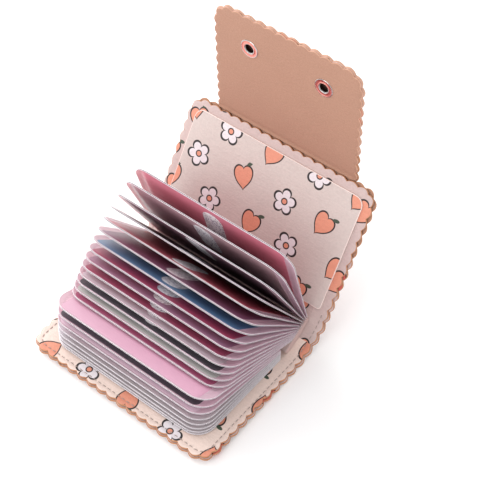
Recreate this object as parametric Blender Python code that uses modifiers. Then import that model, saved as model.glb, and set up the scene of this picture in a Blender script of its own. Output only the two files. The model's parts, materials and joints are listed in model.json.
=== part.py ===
# Card wallet: two scalloped covers, an arched spine, a fan of clear card leaves
# and a closing flap with two snaps. It is modelled open, lying on its front cover.
# Lengths are in metres, +Z is up and X runs along the spine.
import math

import bmesh
import bpy
from mathutils import Vector

MM = 0.001

# Covers
PANEL_WIDTH = 112.0 * MM
PANEL_DEPTH = 71.0 * MM
PANEL_CORNER_RADIUS = 7.0 * MM
SCALLOP_PITCH = 6.3 * MM
SCALLOP_HEIGHT = 1.3 * MM
LEATHER_THICKNESS = 0.9 * MM
CORE_THICKNESS = 0.9 * MM
LINING_THICKNESS = 0.6 * MM
PLY_GAP = 0.3 * MM
HINGE_GAP = 0.35 * MM

# Card leaves
LEAF_COUNT = 22
FRONT_LEAF_COUNT = 8
LEAF_PITCH = 1.01 * MM
LEAF_WIDTH = 95.6 * MM
LEAF_LENGTH = 61.0 * MM
LEAF_CORNER_RADIUS = 10.0 * MM
FILM_THICKNESS = 0.2 * MM
POCKET_HEIGHT = 0.3 * MM
POCKET_MARGIN = 3.0 * MM
TAB_LENGTH = 5.0 * MM
TAB_THICKNESS = 0.3 * MM
THUMB_SLOT_WIDTH = 10.0 * MM
THUMB_SLOT_LENGTH = 22.0 * MM
THUMB_SLOT_FROM_TIP = 9.0 * MM
FIRST_LEAF_HEIGHT = 1.0 * MM
LAST_LEAF_CLEARANCE = 2.0 * MM

# Spine and binding
SPINE_HALF_ANGLE = math.radians(25.0)
BINDING_HEIGHT = 2.5 * MM
BINDING_MARGIN = 2.2 * MM
LEAF_ROOT_GAP = 0.4 * MM

# Inner panel on the back cover
INNER_PANEL_THICKNESS = 0.7 * MM
INNER_PANEL_MARGIN = 5.0 * MM
INNER_PANEL_CORNER_RADIUS = 7.0 * MM

# Flap
FLAP_SIDE_INSET = 13.85 * MM
FLAP_TIP_LENGTH = 36.0 * MM
FLAP_CORNER_RADIUS = 9.0 * MM
FLAP_CREASE_GAP = 0.8 * MM
FLAP_LINING_CREASE_GAP = 1.5 * MM
FORE_EDGE_CLEARANCE = 0.3 * MM
FLAP_CLEARANCE = 0.3 * MM

# Snaps
SNAP_SPACING = 42.6 * MM
SNAP_FROM_TIP = 18.5 * MM
CAP_RADIUS = 5.6 * MM
CAP_HEIGHT = 1.9 * MM
CAP_RIM_HEIGHT = 0.5 * MM
CAP_TUBE_RADIUS = 2.7 * MM
CAP_TUBE_BORE_RADIUS = 2.35 * MM
SOCKET_RADIUS = 5.0 * MM
SOCKET_THICKNESS = 0.9 * MM
SOCKET_PROTRUSION = 0.3 * MM
STUD_HEIGHT = 1.7 * MM
STUD_RADIUS = 1.9 * MM
STUD_NECK_RADIUS = 1.7 * MM
STUD_FLANGE_RADIUS = 4.2 * MM
STUD_BORE_RADIUS = 1.1 * MM
POST_STEM_RADIUS = 0.8 * MM
POST_FLANGE_RADIUS = 3.5 * MM
FIT_GAP = 0.3 * MM

# Spine rivets
RIVET_FROM_END = 16.0 * MM
RIVET_HEAD_RADIUS = 4.4 * MM
RIVET_HEAD_HEIGHT = 1.1 * MM
RIVET_DIMPLE_RADIUS = 2.2 * MM
RIVET_DIMPLE_DEPTH = 0.4 * MM
RIVET_STEM_RADIUS = 1.3 * MM
RIVET_COVER_OVER_STEM = 1.0 * MM

# Pose in which the wallet is modelled
OPEN_ANGLE = math.radians(121.0)
FLAT_ANGLE = math.radians(180.0)
FLAP_BEND = math.radians(34.0)
FIRST_LEAF_ANGLE = math.radians(0.5)
LAST_FRONT_LEAF_ANGLE = math.radians(18.4)
FIRST_SPINE_LEAF_ANGLE = math.radians(18.7)
LAST_LEAF_ANGLE = math.radians(74.3)
FRONT_FAN_POWER = 1.6
SPINE_FAN_POWER = 3
SPINE_FAN_EVEN_SHARE = 0.65

SCALLOP_STEPS = 4
CORNER_STEPS = 6
SLOT_END_STEPS = 8
ARC_STEPS = 12
ROUND_STEPS = 20
CUT_OVERRUN = 1.0 * MM
MERGE_DISTANCE = 0.001 * MM

# Sizes that follow from the values above
COVER_THICKNESS = LEATHER_THICKNESS + CORE_THICKNESS + LINING_THICKNESS + 2 * PLY_GAP
LEAF_THICKNESS = 2 * FILM_THICKNESS + POCKET_HEIGHT
SPINE_CHORD = FIRST_LEAF_HEIGHT + LEAF_PITCH * (LEAF_COUNT - 1) + LAST_LEAF_CLEARANCE
SPINE_RADIUS = SPINE_CHORD / 2 / math.sin(SPINE_HALF_ANGLE)
LEAF_ROOT_HEIGHT = BINDING_HEIGHT + LEAF_ROOT_GAP
OUTER_LEATHER_MIDDLE = -COVER_THICKNESS + LEATHER_THICKNESS / 2

FLAP_WIDTH = PANEL_WIDTH - 2 * FLAP_SIDE_INSET
FLAP_INNER_FACE = LEATHER_THICKNESS / 2 + PLY_GAP + LINING_THICKNESS
FLAP_AXIS_OFFSET = FLAP_INNER_FACE + FORE_EDGE_CLEARANCE
FLAP_FACE_GAP = SOCKET_PROTRUSION + FLAP_CLEARANCE
FLAP_STRIP_LENGTH = SPINE_CHORD + COVER_THICKNESS + FLAP_FACE_GAP - OUTER_LEATHER_MIDDLE
SNAP_FROM_CREASE = FLAP_TIP_LENGTH - SNAP_FROM_TIP
STUD_FROM_HINGE = PANEL_DEPTH + FORE_EDGE_CLEARANCE - SNAP_FROM_CREASE
SNAP_PLACES = (-SNAP_SPACING / 2, SNAP_SPACING / 2)
RIVET_PLACES = (RIVET_FROM_END - PANEL_WIDTH / 2, PANEL_WIDTH / 2 - RIVET_FROM_END)

REST_TILT = math.atan(STUD_HEIGHT / STUD_FROM_HINGE)
FRONT_TURN = -REST_TILT
SPINE_TURN = math.radians(90.0) - OPEN_ANGLE / 2 - REST_TILT
BACK_TURN = math.radians(180.0) - OPEN_ANGLE - REST_TILT

COLOURS = {
    "pink_leather": ((0.86, 0.64, 0.60, 1.0), 0.45, 0.0),
    "tan_core": ((0.62, 0.36, 0.20, 1.0), 0.8, 0.0),
    "cream_lining": ((0.86, 0.74, 0.68, 1.0), 0.5, 0.0),
    "kraft_lining": ((0.64, 0.47, 0.34, 1.0), 0.75, 0.0),
    "clear_film": ((0.90, 0.84, 0.88, 1.0), 0.2, 0.0),
    "binding_fabric": ((0.70, 0.55, 0.52, 1.0), 0.8, 0.0),
    "coral_enamel": ((0.80, 0.22, 0.20, 1.0), 0.25, 0.0),
    "steel": ((0.75, 0.74, 0.72, 1.0), 0.25, 1.0),
}

for old in list(bpy.data.objects):
    bpy.data.objects.remove(old, do_unlink=True)


def new_collection(name):
    collection = bpy.data.collections.new(name)
    bpy.context.scene.collection.children.link(collection)
    return collection


PARTS = new_collection("card_wallet")
CUTTERS = new_collection("cutters")


def make_material(name, colour, roughness, metallic):
    material = bpy.data.materials.new(name)
    material.use_nodes = True
    shader = material.node_tree.nodes["Principled BSDF"]
    shader.inputs["Base Color"].default_value = colour
    shader.inputs["Roughness"].default_value = roughness
    shader.inputs["Metallic"].default_value = metallic
    return material


def material_for(object_name, look):
    colour, roughness, metallic = COLOURS[look]
    return make_material(object_name + "_" + look, colour, roughness, metallic)


def make_frame(name, height_and_depth, turn, parent=None):
    """An empty on a joint axis: its x runs along the spine, its y along the piece."""
    frame = bpy.data.objects.new(name, None)
    PARTS.objects.link(frame)
    frame.location = (0, height_and_depth[0], height_and_depth[1])
    frame.rotation_euler = (turn, 0, 0)
    frame.parent = parent
    return frame


def add_part(name, mesh, look, frame, location=(0, 0, 0), rotation=(0, 0, 0)):
    part = bpy.data.objects.new(name, mesh)
    PARTS.objects.link(part)
    part.data.materials.clear()
    part.data.materials.append(material_for(name, look))
    part.parent = frame
    part.location = location
    part.rotation_euler = rotation
    return part


def add_cutter(name, mesh, frame, location=(0, 0, 0), rotation=(0, 0, 0)):
    cutter = bpy.data.objects.new(name, mesh)
    CUTTERS.objects.link(cutter)
    cutter.parent = frame
    cutter.location = location
    cutter.rotation_euler = rotation
    cutter.hide_render = True
    cutter.display_type = "WIRE"
    return cutter


def cut(part, cutter):
    modifier = part.modifiers.new(cutter.name, "BOOLEAN")
    modifier.operation = "DIFFERENCE"
    modifier.object = cutter


def mesh_of(source, name):
    """The evaluated mesh of an object, welded, with the object itself removed."""
    bpy.context.view_layer.update()
    evaluated = source.evaluated_get(bpy.context.evaluated_depsgraph_get())
    mesh = bpy.data.meshes.new_from_object(evaluated)
    mesh.name = name
    bpy.data.objects.remove(source, do_unlink=True)
    shape = bmesh.new()
    shape.from_mesh(mesh)
    bmesh.ops.remove_doubles(shape, verts=shape.verts, dist=MERGE_DISTANCE)
    bmesh.ops.recalc_face_normals(shape, faces=shape.faces)
    shape.to_mesh(mesh)
    shape.free()
    return mesh


def circle(centre, radius):
    angles = [math.tau * step / ROUND_STEPS for step in range(ROUND_STEPS)]
    return [Vector(centre) + radius * Vector((math.cos(a), math.sin(a))) for a in angles]


def flat_mesh(name, outline, thickness, holes=()):
    """A plate: a filled 2D outline with round holes, extruded to both sides of its plane."""
    curve = bpy.data.curves.new(name, "CURVE")
    curve.dimensions = "2D"
    curve.fill_mode = "BOTH"
    curve.extrude = thickness / 2
    for edge in (outline, *holes):
        spline = curve.splines.new("POLY")
        spline.points.add(len(edge) - 1)
        for point, place in zip(spline.points, edge):
            point.co = (place[0], place[1], 0, 1)
        spline.use_cyclic_u = True
    source = bpy.data.objects.new(name, curve)
    PARTS.objects.link(source)
    return mesh_of(source, name)


def turned_mesh(name, profile, closed=False):
    """A round piece: its half profile (radius, height) turned about the z axis."""
    mesh = bpy.data.meshes.new(name)
    edges = [(i, i + 1) for i in range(len(profile) - 1)]
    if closed:
        edges.append((len(profile) - 1, 0))
    mesh.from_pydata([(radius, 0, height) for radius, height in profile], edges, [])
    source = bpy.data.objects.new(name, mesh)
    PARTS.objects.link(source)
    screw = source.modifiers.new("turn", "SCREW")
    screw.axis = "Z"
    screw.angle = math.tau
    screw.steps = ROUND_STEPS
    screw.render_steps = ROUND_STEPS
    turned = mesh_of(source, name)
    turned.shade_smooth()
    turned.set_sharp_from_angle(angle=math.radians(35))
    return turned


def box_mesh(name, size):
    shape = bmesh.new()
    bmesh.ops.create_cube(shape, size=1.0)
    bmesh.ops.scale(shape, vec=size, verts=shape.verts)
    mesh = bpy.data.meshes.new(name)
    shape.to_mesh(mesh)
    shape.free()
    return mesh


def rod_mesh(name, radius, length):
    shape = bmesh.new()
    bmesh.ops.create_cone(
        shape, cap_ends=True, segments=ROUND_STEPS, radius1=radius, radius2=radius, depth=length
    )
    mesh = bpy.data.meshes.new(name)
    shape.to_mesh(mesh)
    shape.free()
    mesh.shade_smooth()
    mesh.set_sharp_from_angle(angle=math.radians(35))
    return mesh


def line(start, end):
    """A straight stretch of an edge: its length and its point and outward normal at a share."""
    start, end = Vector(start), Vector(end)
    along = end - start
    normal = Vector((-along.y, along.x)).normalized()
    return along.length, lambda share: (start + along * share, normal)


def corner(centre, radius, start_angle, end_angle):
    """A rounded stretch of an edge, with its normal pointing away from the centre."""
    centre = Vector(centre)

    def place(share):
        angle = math.radians(start_angle + (end_angle - start_angle) * share)
        normal = Vector((math.cos(angle), math.sin(angle)))
        return centre + normal * radius, normal

    return radius * math.radians(abs(end_angle - start_angle)), place


def scalloped(stretches):
    """Points along the stretches, with a row of rounded scallops standing on them."""
    total = sum(length for length, _ in stretches)
    steps = max(1, round(total / SCALLOP_PITCH)) * SCALLOP_STEPS
    points = []
    for step in range(steps + 1):
        distance = total * step / steps
        for length, place in stretches:
            if distance <= length or place is stretches[-1][1]:
                break
            distance -= length
        point, normal = place(min(distance / length, 1.0))
        bump = SCALLOP_HEIGHT * abs(math.sin(math.pi * step / SCALLOP_STEPS))
        points.append(point + normal * bump)
    return points


def with_mirror(half):
    """A half outline on the -x side, closed by its mirror image."""
    other = [Vector((-point[0], point[1])) for point in reversed(half)]
    if abs(half[-1][0]) < MERGE_DISTANCE:
        other = other[1:]
    return list(half) + other


def panel_half(width, depth, radius, start, end_x=0.0):
    """Half of a panel with scallops on its side and far edge, from its straight near edge."""
    side = -width / 2 + SCALLOP_HEIGHT
    far = depth - SCALLOP_HEIGHT
    return scalloped([
        line((side, start), (side, far - radius)),
        corner((side + radius, far - radius), radius, 180, 90),
        line((side + radius, far), (end_x, far)),
    ])


def panel_outline(start):
    return with_mirror(panel_half(PANEL_WIDTH, PANEL_DEPTH, PANEL_CORNER_RADIUS, start))


def flap_root_outline(start):
    """The outer leather of the back cover, which runs on to the crease of the flap."""
    root_side = -FLAP_WIDTH / 2 + SCALLOP_HEIGHT
    half = panel_half(PANEL_WIDTH, PANEL_DEPTH, PANEL_CORNER_RADIUS, start, root_side)
    half.append(Vector((root_side, PANEL_DEPTH + FLAP_AXIS_OFFSET - FLAP_CREASE_GAP)))
    return with_mirror(half)


def strip_outline(start, end):
    side = -FLAP_WIDTH / 2 + SCALLOP_HEIGHT
    return with_mirror(scalloped([line((side, start), (side, end))]))


def tip_outline(start):
    return with_mirror(panel_half(FLAP_WIDTH, FLAP_TIP_LENGTH, FLAP_CORNER_RADIUS, start))


def rounded_outline(width, near, far, radius):
    """A plain panel with its two far corners rounded."""
    side = -width / 2
    _, place = corner((side + radius, far - radius), radius, 180, 90)
    half = [Vector((side, near))]
    half += [place(step / CORNER_STEPS)[0] for step in range(CORNER_STEPS + 1)]
    return with_mirror(half)


def slot_outline(width, near, far):
    """A slot with two round ends, along the y axis."""
    radius = width / 2
    outline = []
    for centre, start_angle in ((near + radius, -180), (far - radius, 0)):
        _, place = corner((0, centre), radius, start_angle, start_angle + 180)
        outline += [place(step / SLOT_END_STEPS)[0] for step in range(SLOT_END_STEPS + 1)]
    return outline


def flipped(outline):
    return [Vector((point[0], -point[1])) for point in outline]


def ply_faces():
    """Depths below the inner face of a cover: the two faces of each of its layers."""
    lining = (0.0, LINING_THICKNESS)
    core = (lining[1] + PLY_GAP, lining[1] + PLY_GAP + CORE_THICKNESS)
    leather = (core[1] + PLY_GAP, core[1] + PLY_GAP + LEATHER_THICKNESS)
    return {"lining": lining, "core": core, "leather": leather}


def ply_start(depth):
    """How far from a hinge axis a layer ends, so that it stays clear with the wallet flat."""
    return HINGE_GAP + depth * math.tan(SPINE_HALF_ANGLE / 2)


LOOK_OF_PLY = {"lining": "cream_lining", "core": "tan_core", "leather": "pink_leather"}


def add_ply(cover_name, ply, outline, frame, holes=()):
    near, far = ply_faces()[ply]
    name = cover_name + "_" + ply
    mesh = flat_mesh(name, outline, far - near, holes)
    add_part(name, mesh, LOOK_OF_PLY[ply], frame, (0, 0, -(near + far) / 2))


def make_back_cover(frame):
    """The cover that carries the flap: its leather runs on to the crease of the flap."""
    for ply, (_, far) in ply_faces().items():
        start = ply_start(far)
        outline = flap_root_outline(start) if ply == "leather" else panel_outline(start)
        add_ply("back_cover", ply, outline, frame)


def make_front_cover(frame):
    """The cover that carries the studs, which sit in holes of its leather and core."""
    hole_radius = {
        "leather": STUD_FLANGE_RADIUS + FIT_GAP,
        "core": POST_FLANGE_RADIUS + FIT_GAP,
    }
    for ply, (_, far) in ply_faces().items():
        outline = flipped(panel_outline(ply_start(far)))
        holes = []
        if ply in hole_radius:
            holes = [circle((x, -STUD_FROM_HINGE), hole_radius[ply]) for x in SNAP_PLACES]
        add_ply("front_cover", ply, outline, frame, holes)


def make_hole(part, name, frame, place, radius, depth, centre):
    """A round hole of some depth through a part, centred at a height in its frame."""
    cutter = add_cutter(name, rod_mesh(name, radius, depth), frame, (place[0], place[1], centre))
    cut(part, cutter)


def arc_point(radius, angle):
    centre_height = SPINE_RADIUS * math.cos(SPINE_HALF_ANGLE)
    return Vector((SPINE_CHORD / 2 + radius * math.sin(angle), centre_height - radius * math.cos(angle)))


def arc_points(radius, half_angle):
    return [
        arc_point(radius, half_angle * (2 * step / ARC_STEPS - 1)) for step in range(ARC_STEPS + 1)
    ]


ALONG_SPINE = (math.radians(90), 0, math.radians(90))


def make_spine(frame):
    """The arched layers of the spine, each a band of its own radius."""
    parts = {}
    for ply, (near, far) in ply_faces().items():
        inner, outer = SPINE_RADIUS + near, SPINE_RADIUS + far
        half_angle = SPINE_HALF_ANGLE - ply_start(far) / outer
        outline = arc_points(inner, half_angle) + list(reversed(arc_points(outer, half_angle)))
        mesh = flat_mesh("spine_" + ply, outline, PANEL_WIDTH - SCALLOP_HEIGHT)
        parts[ply] = add_part("spine_" + ply, mesh, LOOK_OF_PLY[ply], frame, rotation=ALONG_SPINE)
    return parts


def make_binding(frame):
    """The strip that fills the arch and carries the roots of the leaves."""
    radius = SPINE_RADIUS - PLY_GAP
    half_angle = math.asin((SPINE_CHORD / 2 - BINDING_MARGIN) / radius)
    outline = arc_points(radius, half_angle)
    outline += [
        Vector((SPINE_CHORD - BINDING_MARGIN, BINDING_HEIGHT)),
        Vector((BINDING_MARGIN, BINDING_HEIGHT)),
    ]
    mesh = flat_mesh("page_binding", outline, LEAF_WIDTH)
    return add_part("page_binding", mesh, "binding_fabric", frame, rotation=ALONG_SPINE)


def make_spine_rivets(frame, spine, binding):
    """Two dimpled rivets whose stems run through the spine into the binding."""
    under_head = arc_point(SPINE_RADIUS + COVER_THICKNESS, 0).y - FIT_GAP
    stem_end = BINDING_HEIGHT - RIVET_COVER_OVER_STEM
    stem_length = stem_end - under_head
    head = RIVET_HEAD_HEIGHT
    profile = [
        (0, head - RIVET_DIMPLE_DEPTH),
        (RIVET_DIMPLE_RADIUS, head - RIVET_DIMPLE_DEPTH),
        (RIVET_DIMPLE_RADIUS, head),
        (RIVET_HEAD_RADIUS - head / 2, head),
        (RIVET_HEAD_RADIUS, head / 2),
        (RIVET_HEAD_RADIUS, 0),
        (RIVET_STEM_RADIUS, 0),
        (RIVET_STEM_RADIUS, -stem_length),
        (0, -stem_length),
    ]
    mesh = turned_mesh("spine_rivet", profile)
    hole_end = stem_end + FIT_GAP
    hole_length = hole_end - under_head + CUT_OVERRUN
    for side, x in zip(("left", "right"), RIVET_PLACES):
        rivet_place = (x, SPINE_CHORD / 2, under_head)
        name = "spine_rivet_" + side
        add_part(name, mesh.copy(), "steel", frame, rivet_place, (math.pi, 0, 0))
        for part in list(spine.values()) + [binding]:
            make_hole(
                part, name + "_hole_in_" + part.name, frame, rivet_place,
                RIVET_STEM_RADIUS + FIT_GAP, hole_length, hole_end - hole_length / 2,
            )


def leaf_mesh():
    """An envelope of two films, open at its outer edge, with a thin tab at its root.

    The lower film has a thumb slot, which pushes a card out.
    """
    outline = flipped(rounded_outline(LEAF_WIDTH, 0, LEAF_LENGTH, LEAF_CORNER_RADIUS))
    leaf = bpy.data.objects.new("leaf", flat_mesh("leaf", outline, LEAF_THICKNESS))
    PARTS.objects.link(leaf)

    pocket_start = TAB_LENGTH + FILM_THICKNESS
    pocket_length = LEAF_LENGTH - pocket_start + CUT_OVERRUN
    pocket = add_cutter(
        "leaf_pocket",
        box_mesh("leaf_pocket", (LEAF_WIDTH - 2 * POCKET_MARGIN, pocket_length, POCKET_HEIGHT)),
        None, (0, -pocket_start - pocket_length / 2, 0),
    )
    slot_far = LEAF_LENGTH - THUMB_SLOT_FROM_TIP
    slot = flipped(slot_outline(THUMB_SLOT_WIDTH, slot_far - THUMB_SLOT_LENGTH, slot_far))
    slot_mesh = flat_mesh("leaf_slot", slot, LEAF_THICKNESS)
    slot_cutter = add_cutter("leaf_slot", slot_mesh, None, (0, 0, -LEAF_THICKNESS / 2))
    relief_height = LEAF_THICKNESS
    relief_size = (LEAF_WIDTH + 2 * CUT_OVERRUN, TAB_LENGTH + CUT_OVERRUN, relief_height)
    relief_y = -TAB_LENGTH / 2 + CUT_OVERRUN / 2
    cutters = [pocket, slot_cutter]
    for side in (-1, 1):
        centre = side * (TAB_THICKNESS + relief_height) / 2
        relief = box_mesh("leaf_relief", relief_size)
        cutters.append(add_cutter("leaf_relief", relief, None, (0, relief_y, centre)))
    for cutter in cutters:
        cut(leaf, cutter)
    mesh = mesh_of(leaf, "leaf")
    for cutter in cutters:
        bpy.data.objects.remove(cutter, do_unlink=True)
    return mesh


def leaf_angle(index):
    """The angle between a leaf and the front cover in the open pose."""
    if index < FRONT_LEAF_COUNT:
        share = (index / (FRONT_LEAF_COUNT - 1)) ** FRONT_FAN_POWER
        return FIRST_LEAF_ANGLE + (LAST_FRONT_LEAF_ANGLE - FIRST_LEAF_ANGLE) * share
    step = (index - FRONT_LEAF_COUNT) / (LEAF_COUNT - 1 - FRONT_LEAF_COUNT)
    share = SPINE_FAN_EVEN_SHARE * step + (1 - SPINE_FAN_EVEN_SHARE) * step ** SPINE_FAN_POWER
    return FIRST_SPINE_LEAF_ANGLE + (LAST_LEAF_ANGLE - FIRST_SPINE_LEAF_ANGLE) * share


def make_leaves(front_axis, origin):
    mesh = leaf_mesh()
    for index in range(LEAF_COUNT):
        height = FIRST_LEAF_HEIGHT + LEAF_PITCH * index
        if index < FRONT_LEAF_COUNT:
            root = ahead(front_axis, FRONT_TURN, -LEAF_ROOT_HEIGHT, height)
        else:
            root = ahead(front_axis, SPINE_TURN, height, LEAF_ROOT_HEIGHT)
        name = f"leaf_{index + 1:02d}"
        frame = make_frame(name + "_axis", root, FRONT_TURN - leaf_angle(index), origin)
        add_part(name, mesh.copy(), "clear_film", frame)


def make_inner_panel(frame):
    width = PANEL_WIDTH - 2 * INNER_PANEL_MARGIN
    far = PANEL_DEPTH - INNER_PANEL_MARGIN
    outline = rounded_outline(width, INNER_PANEL_MARGIN, far, INNER_PANEL_CORNER_RADIUS)
    mesh = flat_mesh("back_inner_panel", outline, INNER_PANEL_THICKNESS)
    place = (0, 0, PLY_GAP + INNER_PANEL_THICKNESS / 2)
    add_part("back_inner_panel", mesh, "cream_lining", frame, place)


def make_flap_crease(frame):
    """The turned leather that lies along the crease between the back cover and the flap."""
    length = FLAP_WIDTH - 2 * SCALLOP_HEIGHT
    mesh = rod_mesh("flap_crease", LEATHER_THICKNESS / 2, length)
    place = (0, PANEL_DEPTH + FLAP_AXIS_OFFSET, OUTER_LEATHER_MIDDLE)
    add_part("flap_crease", mesh, "pink_leather", frame, place, (0, math.radians(90), 0))


def make_flap_strip(frame):
    """The part of the flap that crosses the fore-edge of the closed wallet."""
    end = FLAP_STRIP_LENGTH - HINGE_GAP
    leather = flat_mesh("flap_strip_leather", strip_outline(FLAP_CREASE_GAP, end), LEATHER_THICKNESS)
    add_part("flap_strip_leather", leather, "pink_leather", frame)
    lining_outline = strip_outline(FLAP_LINING_CREASE_GAP, end)
    lining = flat_mesh("flap_strip_lining", lining_outline, LINING_THICKNESS)
    place = (0, 0, FLAP_INNER_FACE - LINING_THICKNESS / 2)
    add_part("flap_strip_lining", lining, "kraft_lining", frame, place)


def make_flap_tip(frame):
    """The part of the flap that lies on the front cover and carries the snaps."""
    leather_centre = -LINING_THICKNESS - PLY_GAP - LEATHER_THICKNESS / 2
    outer_face = leather_centre - LEATHER_THICKNESS / 2
    outline = tip_outline(HINGE_GAP)
    snap_centres = [(x, SNAP_FROM_CREASE) for x in SNAP_PLACES]
    tube_holes = [circle(centre, CAP_TUBE_RADIUS + FIT_GAP) for centre in snap_centres]
    socket_holes = [circle(centre, SOCKET_RADIUS + FIT_GAP) for centre in snap_centres]
    leather = flat_mesh("flap_tip_leather", outline, LEATHER_THICKNESS, tube_holes)
    add_part("flap_tip_leather", leather, "pink_leather", frame, (0, 0, leather_centre))
    lining = flat_mesh("flap_tip_lining", outline, LINING_THICKNESS, socket_holes)
    add_part("flap_tip_lining", lining, "kraft_lining", frame, (0, 0, -LINING_THICKNESS / 2))
    cap = cap_mesh(SOCKET_PROTRUSION - outer_face)
    socket = socket_mesh()
    for side, x in zip(("left", "right"), SNAP_PLACES):
        place = (x, SNAP_FROM_CREASE, outer_face)
        cap_name, socket_name = "snap_cap_" + side, "snap_socket_" + side
        add_part(cap_name, cap.copy(), "coral_enamel", frame, place, (math.pi, 0, 0))
        add_part(socket_name, socket.copy(), "steel", frame, (x, SNAP_FROM_CREASE, 0))


def dome(radius, base, height):
    """The profile of a dome from its top to its rim."""
    angles = [math.radians(90) * step / CORNER_STEPS for step in range(CORNER_STEPS + 1)]
    return [(radius * math.sin(angle), base + height * math.cos(angle)) for angle in angles]


def cap_mesh(tube_depth):
    """The domed outer half of a snap, with the tube that takes the stud."""
    under = FIT_GAP
    rim = under + CAP_RIM_HEIGHT
    profile = dome(CAP_RADIUS, rim, CAP_HEIGHT - CAP_RIM_HEIGHT) + [
        (CAP_RADIUS, under),
        (CAP_TUBE_RADIUS, under),
        (CAP_TUBE_RADIUS, -tube_depth),
        (CAP_TUBE_BORE_RADIUS, -tube_depth),
        (CAP_TUBE_BORE_RADIUS, under),
        (0, under),
    ]
    return turned_mesh("snap_cap", profile)


def socket_mesh():
    """The ring that holds the tube of a cap on the inner face of the flap."""
    inner = CAP_TUBE_RADIUS + FIT_GAP
    top = SOCKET_PROTRUSION
    bottom = SOCKET_PROTRUSION - SOCKET_THICKNESS
    chamfer = SOCKET_PROTRUSION / 2
    profile = [
        (inner, top), (SOCKET_RADIUS - chamfer, top), (SOCKET_RADIUS, top - chamfer),
        (SOCKET_RADIUS, bottom), (inner, bottom),
    ]
    return turned_mesh("snap_socket", profile, closed=True)


def stud_mesh():
    """A snap stud: a bulb that stands out of a flange sunk in the leather."""
    bore_end = STUD_HEIGHT / 2
    shoulder = STUD_HEIGHT / 3
    profile = [
        (0, STUD_HEIGHT),
        (STUD_NECK_RADIUS, STUD_HEIGHT),
        (STUD_RADIUS, STUD_HEIGHT - (STUD_RADIUS - STUD_NECK_RADIUS)),
        (STUD_RADIUS, shoulder),
        (STUD_NECK_RADIUS, shoulder - (STUD_RADIUS - STUD_NECK_RADIUS)),
        (STUD_NECK_RADIUS, 0),
        (STUD_FLANGE_RADIUS, 0),
        (STUD_FLANGE_RADIUS, -LEATHER_THICKNESS),
        (STUD_BORE_RADIUS, -LEATHER_THICKNESS),
        (STUD_BORE_RADIUS, bore_end),
        (0, bore_end),
    ]
    return turned_mesh("snap_stud", profile)


def post_mesh(stem_length, flange_height):
    """The post behind a stud: a flange in the core and a stem in the bore of the stud."""
    profile = [
        (0, stem_length),
        (POST_STEM_RADIUS, stem_length),
        (POST_STEM_RADIUS, 0),
        (POST_FLANGE_RADIUS, 0),
        (POST_FLANGE_RADIUS, -flange_height),
        (0, -flange_height),
    ]
    return turned_mesh("snap_post", profile)


def make_studs(frame):
    """The two studs on the outer face of the front cover, each with its post."""
    _, core_far = ply_faces()["core"]
    _, leather_far = ply_faces()["leather"]
    stud = stud_mesh()
    stem_length = leather_far - core_far + STUD_HEIGHT / 2 - FIT_GAP
    post = post_mesh(stem_length, CORE_THICKNESS - FIT_GAP)
    for side, x in zip(("left", "right"), SNAP_PLACES):
        stud_place = (x, -STUD_FROM_HINGE, -leather_far)
        post_place = (x, -STUD_FROM_HINGE, -core_far)
        add_part("snap_stud_" + side, stud.copy(), "steel", frame, stud_place, (math.pi, 0, 0))
        add_part("snap_post_" + side, post.copy(), "steel", frame, post_place, (math.pi, 0, 0))


def ahead(point, turn, along, up):
    """A point (y, z) some way along and above the direction that a turn gives."""
    y = point[0] + along * math.cos(turn) - up * math.sin(turn)
    z = point[1] + along * math.sin(turn) + up * math.cos(turn)
    return y, z


def move_origin_below(origin):
    """Put the origin under the middle of the whole wallet, on the surface it lies on."""
    bpy.context.view_layer.update()
    graph = bpy.context.evaluated_depsgraph_get()
    low = Vector((math.inf, math.inf, math.inf))
    high = -low
    for part in PARTS.objects:
        if part.type != "MESH":
            continue
        for vertex in part.evaluated_get(graph).data.vertices:
            place = part.matrix_world @ vertex.co
            for axis in range(3):
                low[axis] = min(low[axis], place[axis])
                high[axis] = max(high[axis], place[axis])
    origin.location = (-(low.x + high.x) / 2, -(low.y + high.y) / 2, -low.z)


def main():
    origin = make_frame("card_wallet_origin", (0, 0), 0)

    front_axis = (0, COVER_THICKNESS)
    front = make_frame("front_cover_axis", front_axis, FRONT_TURN, origin)
    make_front_cover(front)
    make_studs(front)

    spine_frame = make_frame("spine_frame", front_axis, SPINE_TURN, origin)
    spine = make_spine(spine_frame)
    binding = make_binding(spine_frame)
    make_spine_rivets(spine_frame, spine, binding)
    make_leaves(front_axis, origin)

    back_axis = ahead(front_axis, SPINE_TURN, SPINE_CHORD, 0)
    back = make_frame("back_cover_axis", back_axis, BACK_TURN, origin)
    make_back_cover(back)
    make_inner_panel(back)
    make_flap_crease(back)

    crease = ahead(back_axis, BACK_TURN, PANEL_DEPTH + FLAP_AXIS_OFFSET, OUTER_LEATHER_MIDDLE)
    strip_turn = BACK_TURN + FLAP_BEND
    make_flap_strip(make_frame("flap_strip_axis", crease, strip_turn, origin))

    fold = ahead(crease, strip_turn, FLAP_STRIP_LENGTH, FLAP_INNER_FACE)
    make_flap_tip(make_frame("flap_tip_axis", fold, strip_turn, origin))

    move_origin_below(origin)


main()
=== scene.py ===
# The look of the card wallet: printed leather, stitched and scalloped edges, clear leaves
# with cards in them, and snaps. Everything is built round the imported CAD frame, in metres.
import json
import math
from functools import partial

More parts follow.
